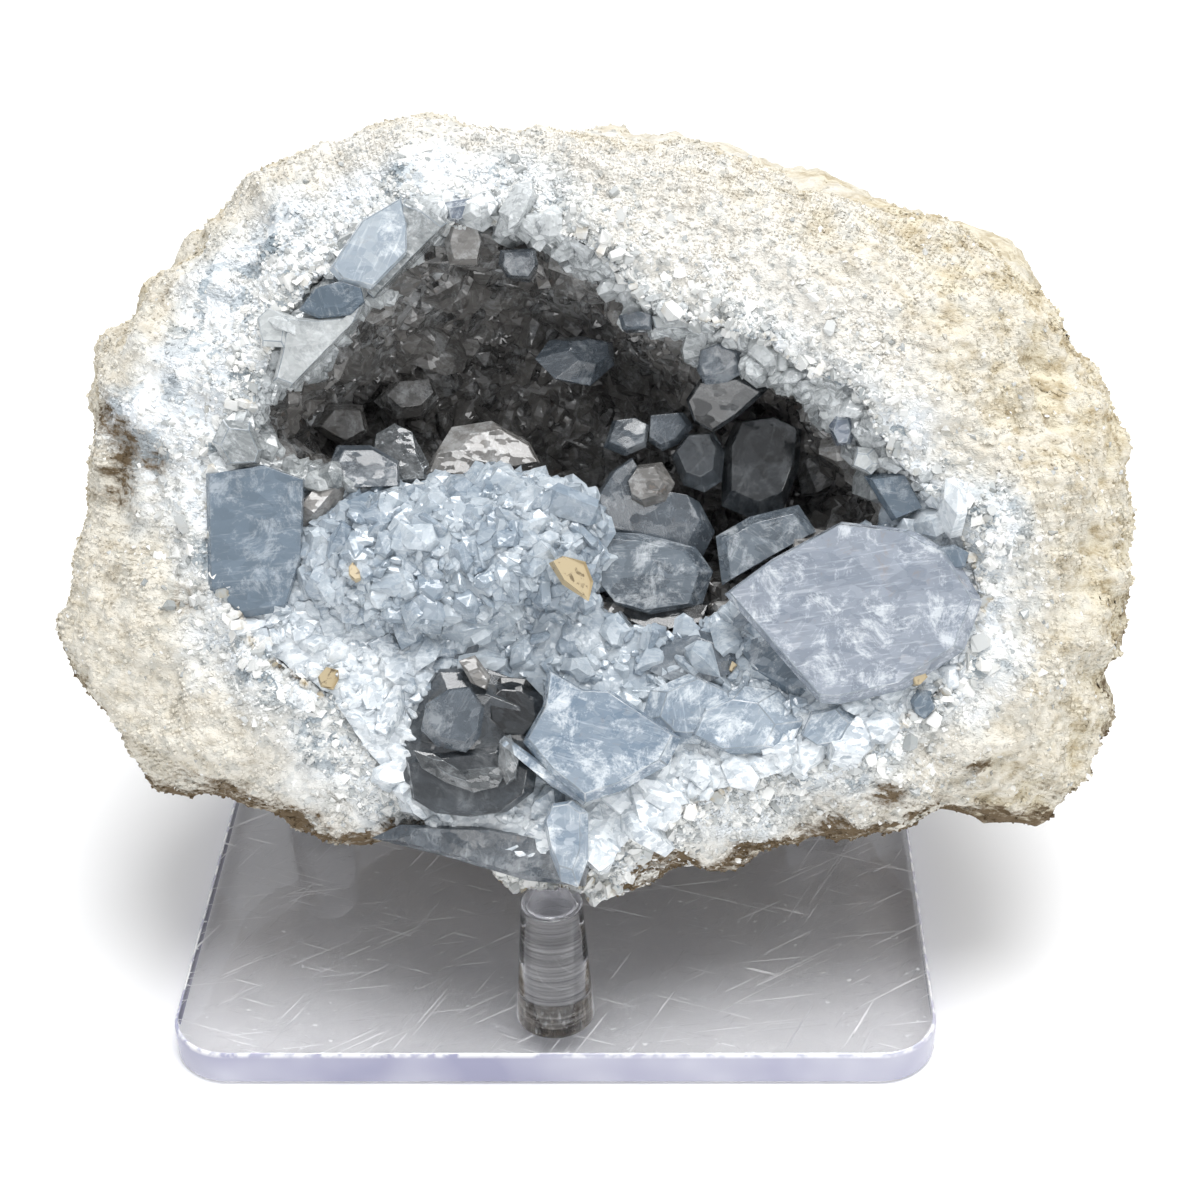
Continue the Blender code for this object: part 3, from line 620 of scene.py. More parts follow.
def crystals(tips, axes, half_sizes, lengths, flats, section, dice, rough=0.16):
    """Prisms with a sloping roof, all at once.

    Each is a section carried through three rings between a root point and the middle of
    its top: the foot, the shoulder, and the roof, which is the section drawn in by the flat
    shares and tilted. The shoulder lies as far below the top as the roof's slope needs.
    """
    count, sides = len(tips), len(section)
    outline = section * (1 + rough * dice.uniform(-1, 1, (count, sides, 1)))
    base = outline * half_sizes[:, None, :]
    top = base * flats[:, None, :]
    drop = ((1 - flats) * half_sizes).mean(axis=1) * math.tan(ROOF_SLOPE)
    tilt = dice.uniform(-1, 1, (count, 1, 2)) * 2.5 * rough
    top_height = (top * tilt).sum(axis=2, keepdims=True)

    def ring(plan, height):
        return np.concatenate((plan, np.broadcast_to(height, plan.shape[:2] + (1,))), axis=2)

    foot = ring(base * 0.85, -0.8 * lengths[:, None, None])
    shoulder = ring(base, -drop[:, None, None])
    roof = ring(top, top_height)
    root = np.zeros((count, 1, 3))
    root[:, 0, 2] = -lengths
    local = np.concatenate((root, foot, shoulder, roof, roof.mean(axis=1, keepdims=True)), axis=1)
    frames = crystal_frames(axes, dice.uniform(0, math.pi, count))
    points = np.einsum("nvi,nij->nvj", local, frames) + tips[:, None, :]
    per_crystal = points.shape[1]
    faces = ring_faces(3, sides)[None] + per_crystal * np.arange(count)[:, None, None]
    shade = np.repeat(dice.uniform(0, 1, count), per_crystal)
    return points.reshape(-1, 3), faces.reshape(-1, 3), shade


def druse(places, ways, least, most, dice, tilt, stand):
    """Small crystals of random size at those places, leaning at random off those ways.

    A crystal is 2.8 half widths long, and its tip stands that share of its half width out.
    """
    count = len(places)
    width = least + (most - least) * dice.power(0.6, count)
    half_sizes = np.column_stack((width, width * dice.uniform(0.5, 1.0, count)))
    axes = unit(unit(ways) + dice.normal(size=(count, 3)) * tilt)
    tips = places + axes * (stand * width)[:, None]
    flats = np.column_stack((dice.uniform(0.3, 0.9, count), dice.uniform(0.02, 0.6, count)))
    return crystals(tips, axes, half_sizes, width * 2.8, flats, ROUGH_SECTION, dice)


def shards(places, ways, width, dice):
    """Tiny grains of eight faces: a ring of four random arms between two points on the axis."""
    count = len(places)
    arms = GRAIN_SECTION * dice.uniform(0.6, 1.2, (count, 4, 1)) * width[:, None, None]
    heights = dice.uniform(-0.3, 0.3, (count, 4, 1)) * width[:, None, None]
    ends = np.zeros((count, 2, 3))
    ends[:, 0, 2] = -1.2 * width
    ends[:, 1, 2] = 0.9 * width
    ring = np.concatenate((arms, heights), axis=2)
    local = np.concatenate((ends[:, :1], ring, ends[:, 1:]), axis=1)
    axes = unit(ways + dice.normal(size=(count, 3)) * 0.6)
    frames = crystal_frames(axes, dice.uniform(0, math.pi, count))
    points = np.einsum("nvi,nij->nvj", local, frames) + places[:, None, :]
    faces = ring_faces(1, 4)[None] + 6 * np.arange(count)[:, None, None]
    return points.reshape(-1, 3), faces.reshape(-1, 3)


def traced_block(row, dice):
    """Block on an outline of corners: rings of it about its middle, scaled for the foot, the
    shoulder and the front edge, between a root point and the front's middle. The front
    leans back by its slope along u and v, and sits off the middle towards one corner."""
    _, front, drop, keep, slope_u, slope_v, depth, corners = row
    outline = np.array(corners) * MM
    front, drop, depth = front * MM, drop * MM, depth * MM
    middle = outline.mean(axis=0)
    arms = outline - middle
    lean = arms @ np.array((slope_u, slope_v))
    push = 0.75 * (1 - keep) * arms[dice.integers(len(arms))]
    top = middle + push + arms * keep
    rings = np.vstack((
        np.column_stack((middle + arms * 0.8, np.full(len(arms), front + 0.8 * depth))),
        np.column_stack((middle + arms, front + drop + lean)),
        np.column_stack((top, front + lean * keep)),
    ))
    uvw = np.vstack(((*middle, front + depth), rings, (*(middle + push), front)))
    return to_world(uvw), ring_faces(3, len(arms)), np.full(len(uvw), dice.uniform())


# Materials

CELESTITE_IOR = 1.62
ACRYLIC_IOR = 1.49


def connect(tree, node, inputs):
    """Set or link each input; a node given as a value stands for its first output in use."""
    for name, value in inputs.items():
        if isinstance(value, bpy.types.Node):
            value = next(output for output in value.outputs if output.enabled)
        if isinstance(value, bpy.types.NodeSocket):
            tree.links.new(value, node.inputs[name])
        else:
            node.inputs[name].default_value = value


def add(tree, kind, inputs=None, **settings):
    """A shader node with its settings and links."""
    node = tree.nodes.new("ShaderNode" + kind)
    for name, value in settings.items():
        setattr(node, name, value)
    connect(tree, node, inputs or {})
    return node


def new_material(name):
    """A new material, its node tree and its Principled BSDF."""
    material = bpy.data.materials.new(name)
    material.use_nodes = True
    tree = material.node_tree
    return material, tree, tree.nodes["Principled BSDF"]


def sugary_host_rock(colours):
    """Weathered sugary crust of the nodule: chalky white grains, some grey and half clear; near
    the mouth they pass into broken plates of icy crystal, and away from it into cream, tan
    stain and the brown dirt of the pits. The cream, tan and brown are also painted shade on the
    sides, where the stone turns away, in its low places, along its lower edges and under it."""
    material, tree, shader = new_material("sugary_host_rock")
    place = add(tree, "TexCoord").outputs["Object"]
    dirt_and_shade, stain_and_shade, ice = (add(tree, "Attribute", attribute_name=field).outputs["Fac"]
                        for field in ("dirt_and_shade", "stain_and_shade", "ice"))
    flaky = add(tree, "Mapping", {"Vector": place, "Rotation": (0.0, 0.15, 0.0),
                                  "Scale": (1.9, 1.3, 1.0)}, vector_type="TEXTURE")
    speck = add(tree, "TexNoise", {"Vector": flaky, "Scale": 1 / (2.1 * MM), "Detail": 4.0,
                                   "Roughness": 0.72})
    grains = add(tree, "TexVoronoi", {"Vector": place, "Scale": 1 / (1.1 * MM)})
    plates = add(tree, "TexVoronoi", {"Vector": place, "Scale": 1 / (3.4 * MM)})
    grain = add(tree, "SeparateColor", {"Color": grains.outputs["Color"]})
    plate = add(tree, "SeparateColor", {"Color": plates.outputs["Color"]})

    grey = add(tree, "MapRange", {"Value": grain, "From Min": 0.6, "From Max": 0.95, "To Max": 0.55})
    spots = add(tree, "MapRange", {"Value": speck, "From Min": 0.44, "From Max": 0.64, "To Max": 0.9})
    # Tan stain in spots, partly painted shade
    stain_and_shade_spots = add(tree, "Math", {0: stain_and_shade, 1: spots}, operation="MULTIPLY")
    clearer = add(tree, "MapRange", {"Value": plate, "From Min": 0.3})
    crushed = add(tree, "MapRange", {"Value": speck, "From Min": 0.47, "From Max": 0.6})
    # Brown dirt and painted shade, broken into patches by the specks
    patchy = add(tree, "Math", {0: speck, 1: 5.0, 2: -2.5}, operation="MULTIPLY_ADD")
    patchy_dirt_and_shade = add(tree, "Math", {0: patchy, 1: dirt_and_shade}, operation="ADD")
    only = add(tree, "Math", {0: dirt_and_shade, 1: 4.0}, operation="MULTIPLY", use_clamp=True)
    dirt_and_shade_share = add(tree, "Math", {0: patchy_dirt_and_shade, 1: only}, operation="MULTIPLY", use_clamp=True)
    base, icy = colours.rock, linear("#d9dde0")
    for share, over in ((clearer, linear("#848f96")), (crushed, linear("#dcdddb"))):
        icy = add(tree, "Mix", {"Factor": share, "A": icy, "B": over}, data_type="RGBA")
    for share, over in ((grey, colours.rock_grey), (stain_and_shade, colours.rock_cream_and_shade),
                        (stain_and_shade_spots, colours.rock_stain_and_shade), (ice, icy), (dirt_and_shade_share, colours.rock_dirt_and_shade)):
        base = add(tree, "Mix", {"Factor": share, "A": base, "B": over}, data_type="RGBA")

    glossy = add(tree, "Math", {0: ice, 1: plate}, operation="MULTIPLY")
    rough = add(tree, "MapRange", {"Value": glossy, "To Min": 0.85, "To Max": 0.25})
    pores = add(tree, "Bump", {"Strength": 1.0, "Distance": 1.2 * MM, "Height": speck})
    turned = add(tree, "VectorMath", {0: plates.outputs["Color"], 1: (0.7,) * 3, 2: (-0.35,) * 3},
                 operation="MULTIPLY_ADD")
    tilt = add(tree, "VectorMath", {0: turned, "Scale": ice}, operation="SCALE")
    tilted = add(tree, "VectorMath", {0: pores, 1: tilt}, operation="ADD")
    facing = add(tree, "VectorMath", {0: tilted}, operation="NORMALIZE")
    connect(tree, shader, {"Base Color": base, "Roughness": rough, "Normal": facing})
    return material


def sugar_crystal(colours):
    """Sugary celestite: white to grey grains, a little clear, whose faces catch the light."""
    material, tree, shader = new_material("sugary_celestite")
    place = add(tree, "TexCoord").outputs["Object"]
    shade, dirt_and_shade = (add(tree, "Attribute", attribute_name=field).outputs["Fac"]
                   for field in ("shade", "dirt_and_shade"))
    speck = add(tree, "TexNoise", {"Vector": place, "Scale": 1 / (2.4 * MM), "Detail": 3.0})
    dusk = add(tree, "Math", {0: shade, 1: 2.2}, operation="POWER")
    warm = add(tree, "MapRange", {"Value": speck, "From Min": 0.5, "From Max": 0.7})
    # Tan from the rock's stain and dirt under the grain, painted shade included
    stain_and_shade = add(tree, "Math", {0: warm, 1: dirt_and_shade}, operation="MULTIPLY", use_clamp=True)
    base = linear("#ebebe8")
    for share, over in ((dusk, colours.rock_grey), (stain_and_shade, colours.rock_stain_and_shade)):
        base = add(tree, "Mix", {"Factor": share, "A": base, "B": over}, data_type="RGBA")
    connect(tree, shader, {"Base Color": base, "Roughness": 0.25, "Transmission Weight": 0.12,
                           "IOR": CELESTITE_IOR})
    return material


def celestite(name, pale, deep, transmission, roughness, veils, cell, warmth=0.0, facets=0.13):
    """Celestite crystal grown in the hollow: glassy faces over a clear body that straight
    cleavage planes cut into cells, each a little lighter or darker and turned its own way,
    with white veils and streaks. A veil is white and lets less light through, and so does
    the frost of crystals that are broken near the rim."""
    material, tree, shader = new_material(name)
    place = add(tree, "TexCoord").outputs["Object"]
    normal = add(tree, "NewGeometry").outputs["Normal"]
    shade, frost = (add(tree, "Attribute", attribute_name=field).outputs["Fac"]
                    for field in ("shade", "frost"))
    lean = add(tree, "Mapping", {"Vector": place, "Rotation": (0.5, 0.3, 0.9),
                                 "Scale": (1.0, 2.2, 1.4)})
    cells = add(tree, "TexVoronoi", {"Vector": lean, "Scale": 1 / cell})
    chips = add(tree, "TexVoronoi", {"Vector": lean, "Scale": 3.2 / cell}, distance="MANHATTAN")
    tone = add(tree, "SeparateColor", {"Color": cells.outputs["Color"]})
    small_tone = add(tree, "SeparateColor", {"Color": chips.outputs["Color"]})
    cloud = add(tree, "TexNoise", {"Vector": place, "Scale": 1 / (6 * MM), "Detail": 6.0,
                                   "Roughness": 0.8, "Distortion": 0.4})
    spin = add(tree, "Math", {0: shade, 1: 2 * math.pi}, operation="MULTIPLY")
    own_way = add(tree, "VectorRotate", {"Vector": place, "Axis": FACE_AXES[2], "Angle": spin})
    lanes = add(tree, "Mapping", {"Vector": own_way, "Rotation": (0.2, 0.9, 0.6),
                                  "Scale": (0.11, 1.0, 1.0)})
    streak = add(tree, "TexNoise", {"Vector": lanes, "Scale": 1 / (0.6 * MM), "Detail": 2.0,
                                    "Roughness": 0.7})

    body = add(tree, "Math", {0: tone, 1: 0.45, 2: shade}, operation="MULTIPLY_ADD")
    toned = add(tree, "Math", {0: small_tone, 1: 0.45, 2: body}, operation="MULTIPLY_ADD")
    depth = add(tree, "MapRange", {"Value": toned, "From Min": 0.2, "From Max": 1.7})
    veil = add(tree, "MapRange", {"Value": cloud, "From Min": 0.5, "From Max": 0.62})
    lines = add(tree, "MapRange", {"Value": streak, "From Min": 0.56, "From Max": 0.7, "To Max": 0.45})
    white = add(tree, "Math", {0: lines, 1: veil}, operation="ADD")
    frosty = add(tree, "MapRange", {"Value": small_tone, "To Min": 0.95, "To Max": 0.3})
    frosted = add(tree, "Math", {0: frosty, 1: frost}, operation="MULTIPLY")
    whiteness = add(tree, "Math", {0: white, 1: veils, 2: frosted}, operation="MULTIPLY_ADD",
                    use_clamp=True)
    rust = add(tree, "MapRange", {"Value": cloud, "From Min": 0.4, "From Max": 0.3, "To Max": warmth})
    base = pale
    for share, over in ((depth, deep), (whiteness, linear("#e3e7e9")), (rust, linear("#b59a84"))):
        base = add(tree, "Mix", {"Factor": share, "A": base, "B": over}, data_type="RGBA")
    clear = add(tree, "MapRange", {"Value": whiteness, "To Min": transmission, "To Max": 0.1})

    turned = add(tree, "VectorMath", {0: chips.outputs["Color"], 1: (2 * facets,) * 3,
                                      2: (-facets,) * 3}, operation="MULTIPLY_ADD")
    tilted = add(tree, "VectorMath", {0: turned, 1: normal}, operation="ADD")
    facing = add(tree, "VectorMath", {0: tilted}, operation="NORMALIZE")
    connect(tree, shader, {"Base Color": base, "Transmission Weight": clear, "Normal": facing,
                           "Roughness": roughness, "IOR": CELESTITE_IOR})
    return material


def crystal_edge():
    """Worn edge of a large crystal: a thin line of painted highlight, whiter here and there."""
    material, tree, shader = new_material("bruised_crystal_edge")
    place = add(tree, "TexCoord").outputs["Object"]
    painted_glint = add(tree, "TexNoise", {"Vector": place, "Scale": 1 / (3 * MM), "Detail": 5.0})
    mark = add(tree, "MapRange", {"Value": painted_glint, "From Min": 0.48, "From Max": 0.66})
    base = add(tree, "Mix", {"Factor": mark, "A": linear("#9aa5ae"), "B": linear("#e6ebef")},
               data_type="RGBA")
    connect(tree, shader, {"Base Color": base, "Roughness": 0.2, "Transmission Weight": 0.5,
                           "IOR": CELESTITE_IOR})
    return material


def stained_chip(colours):
    """Iron-stained celestite chip: a thin opaque tan film with dark flecks on a flat face."""
    material, tree, shader = new_material("iron_stained_chip")
    place = add(tree, "TexCoord").outputs["Object"]
    fleck = add(tree, "TexNoise", {"Vector": place, "Scale": 1 / (1.2 * MM), "Detail": 4.0})
    mark = add(tree, "MapRange", {"Value": fleck, "From Min": 0.58, "From Max": 0.66})
    base = add(tree, "Mix", {"Factor": mark, "A": colours.chip, "B": linear("#6a5c45")},
               data_type="RGBA")
    connect(tree, shader, {"Base Color": base, "Roughness": 0.5})
    return material


def scratched(tree, place, lanes):
    """Straight scratches: noise drawn out along each lane's way, kept where it is highest.
    A lane is its turn about the height, its stretch, its width and how rare it is."""
    marks = 0.0
    for turn, stretch, width, rare in lanes:
        lane = add(tree, "Mapping", {"Vector": place, "Rotation": (0.0, 0.0, turn),
                                     "Scale": (stretch, 1.0, 1.0)}, vector_type="TEXTURE")
        streak = add(tree, "TexNoise", {"Vector": lane, "Scale": 1 / width, "Detail": 2.0})
        thin = add(tree, "MapRange", {"Value": streak, "From Min": rare, "From Max": rare + 0.04})
        marks = add(tree, "Math", {0: marks, 1: thin}, operation="MAXIMUM")
    return marks


def scuff(tree, shader, marks):
    """Let the marks turn clear, polished acrylic into a white, rough graze."""
    rough = add(tree, "MapRange", {"Value": marks, "To Min": 0.03, "To Max": 0.6})
    clear = add(tree, "MapRange", {"Value": marks, "To Min": 1.0, "To Max": 0.45})
    connect(tree, shader, {"Roughness": rough, "Transmission Weight": clear, "IOR": ACRYLIC_IOR})


# Scratches and, last, specks of the sheet: turn, stretch, width and how rare
SCRATCH_LANES = (
    (0.6, 36.0, 0.6 * MM, 0.675),
    (-0.35, 30.0, 0.6 * MM, 0.688),
    (1.1, 44.0, 0.6 * MM, 0.683),
    (0.15, 50.0, 0.6 * MM, 0.695),
    (0.0, 1.6, 0.9 * MM, 0.685),
)


def clear_acrylic(colours):
    """Cast acrylic sheet, polished and then scratched in use: fully clear, with fine white
    scratches that cross each other and small specks."""
    material, tree, shader = new_material("cast_acrylic_sheet")
    place = add(tree, "TexCoord").outputs["Object"]
    scuff(tree, shader, scratched(tree, place, SCRATCH_LANES))
    connect(tree, shader, {"Base Color": colours.acrylic})
    return material


def turned_rod(colours):
    """Turned acrylic rod: clear, with the fine rings that the lathe left round it, and grey painted into
    its body in bands along the rings: painted shade for the dark underside of the stone seen through it."""
    material, tree, shader = new_material("turned_acrylic_rod")
    place = add(tree, "TexCoord").outputs["Object"]
    height = add(tree, "Mapping", {"Vector": place, "Scale": (0.02, 0.02, 1.0)})
    rings = add(tree, "TexNoise", {"Vector": height, "Scale": 1 / (0.5 * MM), "Detail": 3.0})
    scuff(tree, shader, add(tree, "MapRange", {"Value": rings, "From Min": 0.52, "From Max": 0.75,
                                               "To Max": 0.15}))
    # Painted shade: grey bands for the dark underside of the stone seen through the rod
    painted_refraction_shade = add(tree, "MapRange", {"Value": rings, "From Min": 0.35, "From Max": 0.6})
    body = add(tree, "Mix", {"Factor": painted_refraction_shade, "A": linear("#b6b6ba"), "B": colours.acrylic},
               data_type="RGBA")
    connect(tree, shader, {"Base Color": body})
    return material


def acrylic_edge():
    """Flame-polished edge of the acrylic sheet, with a painted lilac glow for the light that the sheet
    carries, and a painted white highlight along its top corner, ragged like chips."""
    material, tree, shader = new_material("polished_acrylic_edge")
    place = add(tree, "TexCoord").outputs["Object"]
    height = add(tree, "SeparateXYZ", {"Vector": place}).outputs["Z"]
    # Painted highlight: white along the rounded top corner, broken up by noise
    corner = add(tree, "MapRange", {"Value": height, "From Min": PLATE_HIGH.z - 0.75 * MM,
                                    "From Max": PLATE_HIGH.z - 0.25 * MM})
    chips = add(tree, "TexNoise", {"Vector": place, "Scale": 1 / (2.5 * MM), "Detail": 5.0})
    broken = add(tree, "MapRange", {"Value": chips, "From Min": 0.42, "From Max": 0.55})
    painted_corner_highlight = add(tree, "Math", {0: corner, 1: broken}, operation="MULTIPLY")
    # Painted glow: broad patches of lighter lilac
    glow = add(tree, "TexNoise", {"Vector": place, "Scale": 1 / (20 * MM), "Detail": 2.0})
    shaded = add(tree, "MapRange", {"Value": glow, "From Min": 0.35, "From Max": 0.65})
    base = linear("#a9a9c4")
    for share, over in ((shaded, linear("#d3d3e2")), (painted_corner_highlight, linear("#ffffff"))):
        base = add(tree, "Mix", {"Factor": share, "A": base, "B": over}, data_type="RGBA")
    connect(tree, shader, {"Base Color": base, "Roughness": 0.12, "Transmission Weight": 0.35,
                           "IOR": ACRYLIC_IOR})
    return material


# Rock

ROCK_COLUMNS = 540
ROCK_BACK_ROWS, ROCK_RIM_ROWS, ROCK_WALL_ROWS = 40, 116, 18
# Share of the way from the back's pole to the mouth where the fine rim rows start
RIM_START = 0.58
LEDGE_SPACING = 3.1 * MM
LIP_ROLL = 1.6 * MM


def rock_columns(sizes):
    """Grid of the rock, from the pole of its back, over the rim and down to the hollow's end.

    A column keeps its azimuth round the back and turns towards the mouth's own azimuth at
    the front. Past the mouth's edge it is an arc, r = R cos^0.7 and w = depth sin^0.85.
    """
    azimuth = np.linspace(0, 2 * math.pi, ROCK_COLUMNS, endpoint=False)
    mouth = radius_at(HOLLOW_OUTLINE, azimuth)
    mouth_u = HOLLOW_CENTRE[0] + mouth * np.cos(azimuth)
    mouth_v = HOLLOW_CENTRE[1] + mouth * np.sin(azimuth)
    mouth_turn = np.arctan2(mouth_v, mouth_u)
    share = np.hypot(mouth_u, mouth_v) / radius_at(STONE_OUTLINE, mouth_turn)
    mouth_polar = math.pi - np.arcsin(np.clip(share, 0, 0.995) ** (FRONT_FULLNESS / 2))
    swing = np.angle(np.exp(1j * (mouth_turn - azimuth)))

    back = np.linspace(0.03, RIM_START, ROCK_BACK_ROWS, endpoint=False)
    front = np.linspace(RIM_START, 1.0, ROCK_RIM_ROWS)
    along = np.concatenate((back, front))[:, None]
    polar = mouth_polar * along
    turn = azimuth + swing * smooth_step(along, 0.45, 1.0)
    directions = np.stack((np.sin(polar) * np.cos(turn), np.sin(polar) * np.sin(turn),
                           np.cos(polar) * np.ones_like(turn)), axis=-1)
    outside = stone_surface(directions.reshape(-1, 3)).reshape(directions.shape)
    gap = np.hypot(outside[..., 0] - outside[-1, :, 0], outside[..., 1] - outside[-1, :, 1])
    rolled = np.where(along > 0.6, 1 - smooth_step(gap, 0, sizes.lip_round), 0)
    outside[..., 2] += LIP_ROLL * rolled ** 2

    edge = outside[-1]
    depth = np.linspace(0, math.pi / 2, ROCK_WALL_ROWS + 1)[1:, None]
    pull = np.cos(np.minimum(depth, 1.5)) ** POCKET_SIDE_POWER
    wall_u = HOLLOW_CENTRE[0] + (edge[:, 0] - HOLLOW_CENTRE[0]) * pull
    wall_v = HOLLOW_CENTRE[1] + (edge[:, 1] - HOLLOW_CENTRE[1]) * pull
    wall_w = edge[:, 2] + (HOLLOW_DEPTH - edge[:, 2]) * np.sin(depth) ** POCKET_END_POWER
    inside = np.stack((wall_u, wall_v, wall_w), axis=-1)
    back_pole = stone_surface(np.array(((0.0, 0.0, 1.0),)))
    end_pole = np.array(((*HOLLOW_CENTRE, HOLLOW_DEPTH),))
    rows = np.concatenate((outside, inside))
    on_rim = np.concatenate((np.repeat(smooth_step(along[:, 0], 0.52, 0.68), ROCK_COLUMNS),
                             np.zeros(ROCK_WALL_ROWS * ROCK_COLUMNS)))
    uvw = np.vstack((back_pole, rows.reshape(-1, 3), end_pole))
    return uvw, len(rows), np.concatenate(((0.0,), on_rim, (0.0,)))


def mouth_distance(uvw):
    """How far outside the mouth's edge each place is, across the face."""
    across, up = (uvw[:, :2] - HOLLOW_CENTRE).T
    return np.hypot(across, up) - radius_at(HOLLOW_OUTLINE, np.arctan2(up, across))


def oval_patch(uvw, middle, half_size):
    """Gaussian oval on the face: its middle and half sizes along u and v in mm."""
    away = (uvw[:, :2] - np.array(middle) * MM) / (np.array(half_size) * MM)
    return np.exp(-(away ** 2).sum(axis=1))


def frost_at(points):
    """How white and broken the crystals are: most at the mouth's edge, patchy further in."""
    uvw = to_face(points)
    patches = grain_noise(uvw, 9 * MM, 81)
    edge = smooth_step(mouth_distance(uvw) + 4 * MM * patches, -12 * MM, 0)
    low_left = oval_patch(uvw, (-38, -34), (12, 14))
    low_right = oval_patch(uvw, (16, -49), (24, 11))
    return (edge + low_left + low_right).clip(0, 1)


def rock_relief(uvw, sizes):
    """Grains and ledges of the rock in mm: ridged, coarse and fine lattice noise, and a
    saw-tooth of height at the right that breaks off in patches."""
    knots = 1 - np.abs(grain_noise(uvw, 2.2 * sizes.coarse_grain, 11))
    coarse = grain_noise(uvw, sizes.coarse_grain, 12)
    fine = grain_noise(uvw, sizes.fine_grain, 13)
    layer = (uvw[:, 1] - 0.2 * uvw[:, 0] + 0.25 * uvw[:, 2]) / LEDGE_SPACING
    layer += 1.8 * grain_noise(uvw, 14 * MM, 14)
    right = smooth_step(uvw[:, 0], 5 * MM, 55 * MM)
    broken = smooth_step(grain_noise(uvw, 11 * MM, 15), -0.3, 0.4)
    relief = 1.1 * (knots - 0.8) + 0.6 * coarse + 0.45 * fine - 0.35
    return relief + 0.65 * right * broken * (np.mod(layer, 1.0) - 0.6)


def rock_fields(points, normals, uvw, relief, pits):
    """Dirt and painted shade, stain and painted shade, and ice of the rock.

    Stain lies away from the mouth, most at the right where the ledges are. In the low places, on
    the sides and wherever the stone turns away from its face, more stain is painted shade. Dirt
    lies in the pits; in the low places, where the stone turns away low down and where it faces the
    ground, the dirt is painted shade. Ice is round the mouth, in patches, least at the upper right.
    """
    u, v, w = uvw.T
    # Painted shade: the low places of the relief take more tan and brown
    low = smooth_step(-relief, 0.1, 1.2)
    # Painted shade under the stone: brown where it faces the ground low down, in blotches
    under = smooth_step(-normals[:, 2], 0.12, 0.5) * smooth_step(-points[:, 2], -95 * MM, -55 * MM)
    under *= smooth_step(w, -9 * MM, -3 * MM)
    blotch = 0.5 + 0.5 * waves(uvw, 24 * MM, seed=41)
    # Painted shade where the stone turns away from its face, and brown along its lower edges
    turned = smooth_step(normals @ FACE_AXES[2], -0.6, -0.15)
    foot = turned * smooth_step(-v, 2 * MM, 34 * MM)
    dirt_and_shade = 0.85 * under * (0.7 + 0.7 * blotch) + 0.75 * pits
    dirt_and_shade += 0.3 * low * (0.2 + under) + 0.42 * foot

    away = mouth_distance(uvw)
    right = smooth_step(u, 5 * MM, 55 * MM)
    # Painted shade: both sides of the stone take more stain
    sides = smooth_step(np.abs(u), 36 * MM, 72 * MM)
    stain_and_shade = smooth_step(away, 6 * MM, 30 * MM) * (0.15 + 0.6 * right) * (0.3 + low)
    stain_and_shade += 0.45 * turned + 0.28 * sides

    patches = grain_noise(uvw, 13 * MM, 78) + 0.5 * grain_noise(uvw, 5 * MM, 79)
    bare = smooth_step(u, -14 * MM, 8 * MM) * smooth_step(v, 2 * MM, 24 * MM)
    left = smooth_step(-u, 20 * MM, 50 * MM) * smooth_step(v, 0, 14 * MM)
    reach = 0.45 * patches - away / (15 * MM) - 0.55 * bare + 0.5 * left
    ice = smooth_step(reach, -1.0, -0.35) * (1 - under) * (1 - smooth_step(w, 0, 9 * MM))
    return {"dirt_and_shade": dirt_and_shade.clip(0, 1), "stain_and_shade": stain_and_shade.clip(0, 1), "ice": ice}


def rock_surface(sizes):
    """Points, triangles, normals, face places, share of the rim and fields of the host rock,
    with its relief along the normals."""
    uvw, rows, on_rim = rock_columns(sizes)
    points = to_world(uvw)
    settle_on_pegs(points)
    faces = outward(points, ring_faces(rows, ROCK_COLUMNS))
    normals = point_normals(points, faces)
    relief = rock_relief(uvw, sizes) + spot_sum(uvw, FINE_PITS)
    pits = spot_sum(uvw, [(*middle, 0.9 * width, 1.0)
                          for *middle, width, height in STONE_SPOTS + FINE_PITS if height < 0])
    points = points + normals * (MM * relief)[:, None]
    clear_of_pegs(points)
    return points, faces, normals, uvw, on_rim, rock_fields(points, normals, uvw, relief, pits)


class GEODE_OT_host_rock(bpy.types.Operator):
    """Build the broken nodule of sugary rock, with its rim and hollow"""

    bl_idname = "geode.host_rock"
    bl_label = "Host rock"

    def execute(self, context):
        points, faces, _, _, _, fields = rock_surface(context.scene.geode_sizes)
        make_piece("host_rock", points, faces, sugary_host_rock(context.scene.geode_colours),
                   smooth=True, replaced=("rock_shell",), fields=fields)
        return {"FINISHED"}


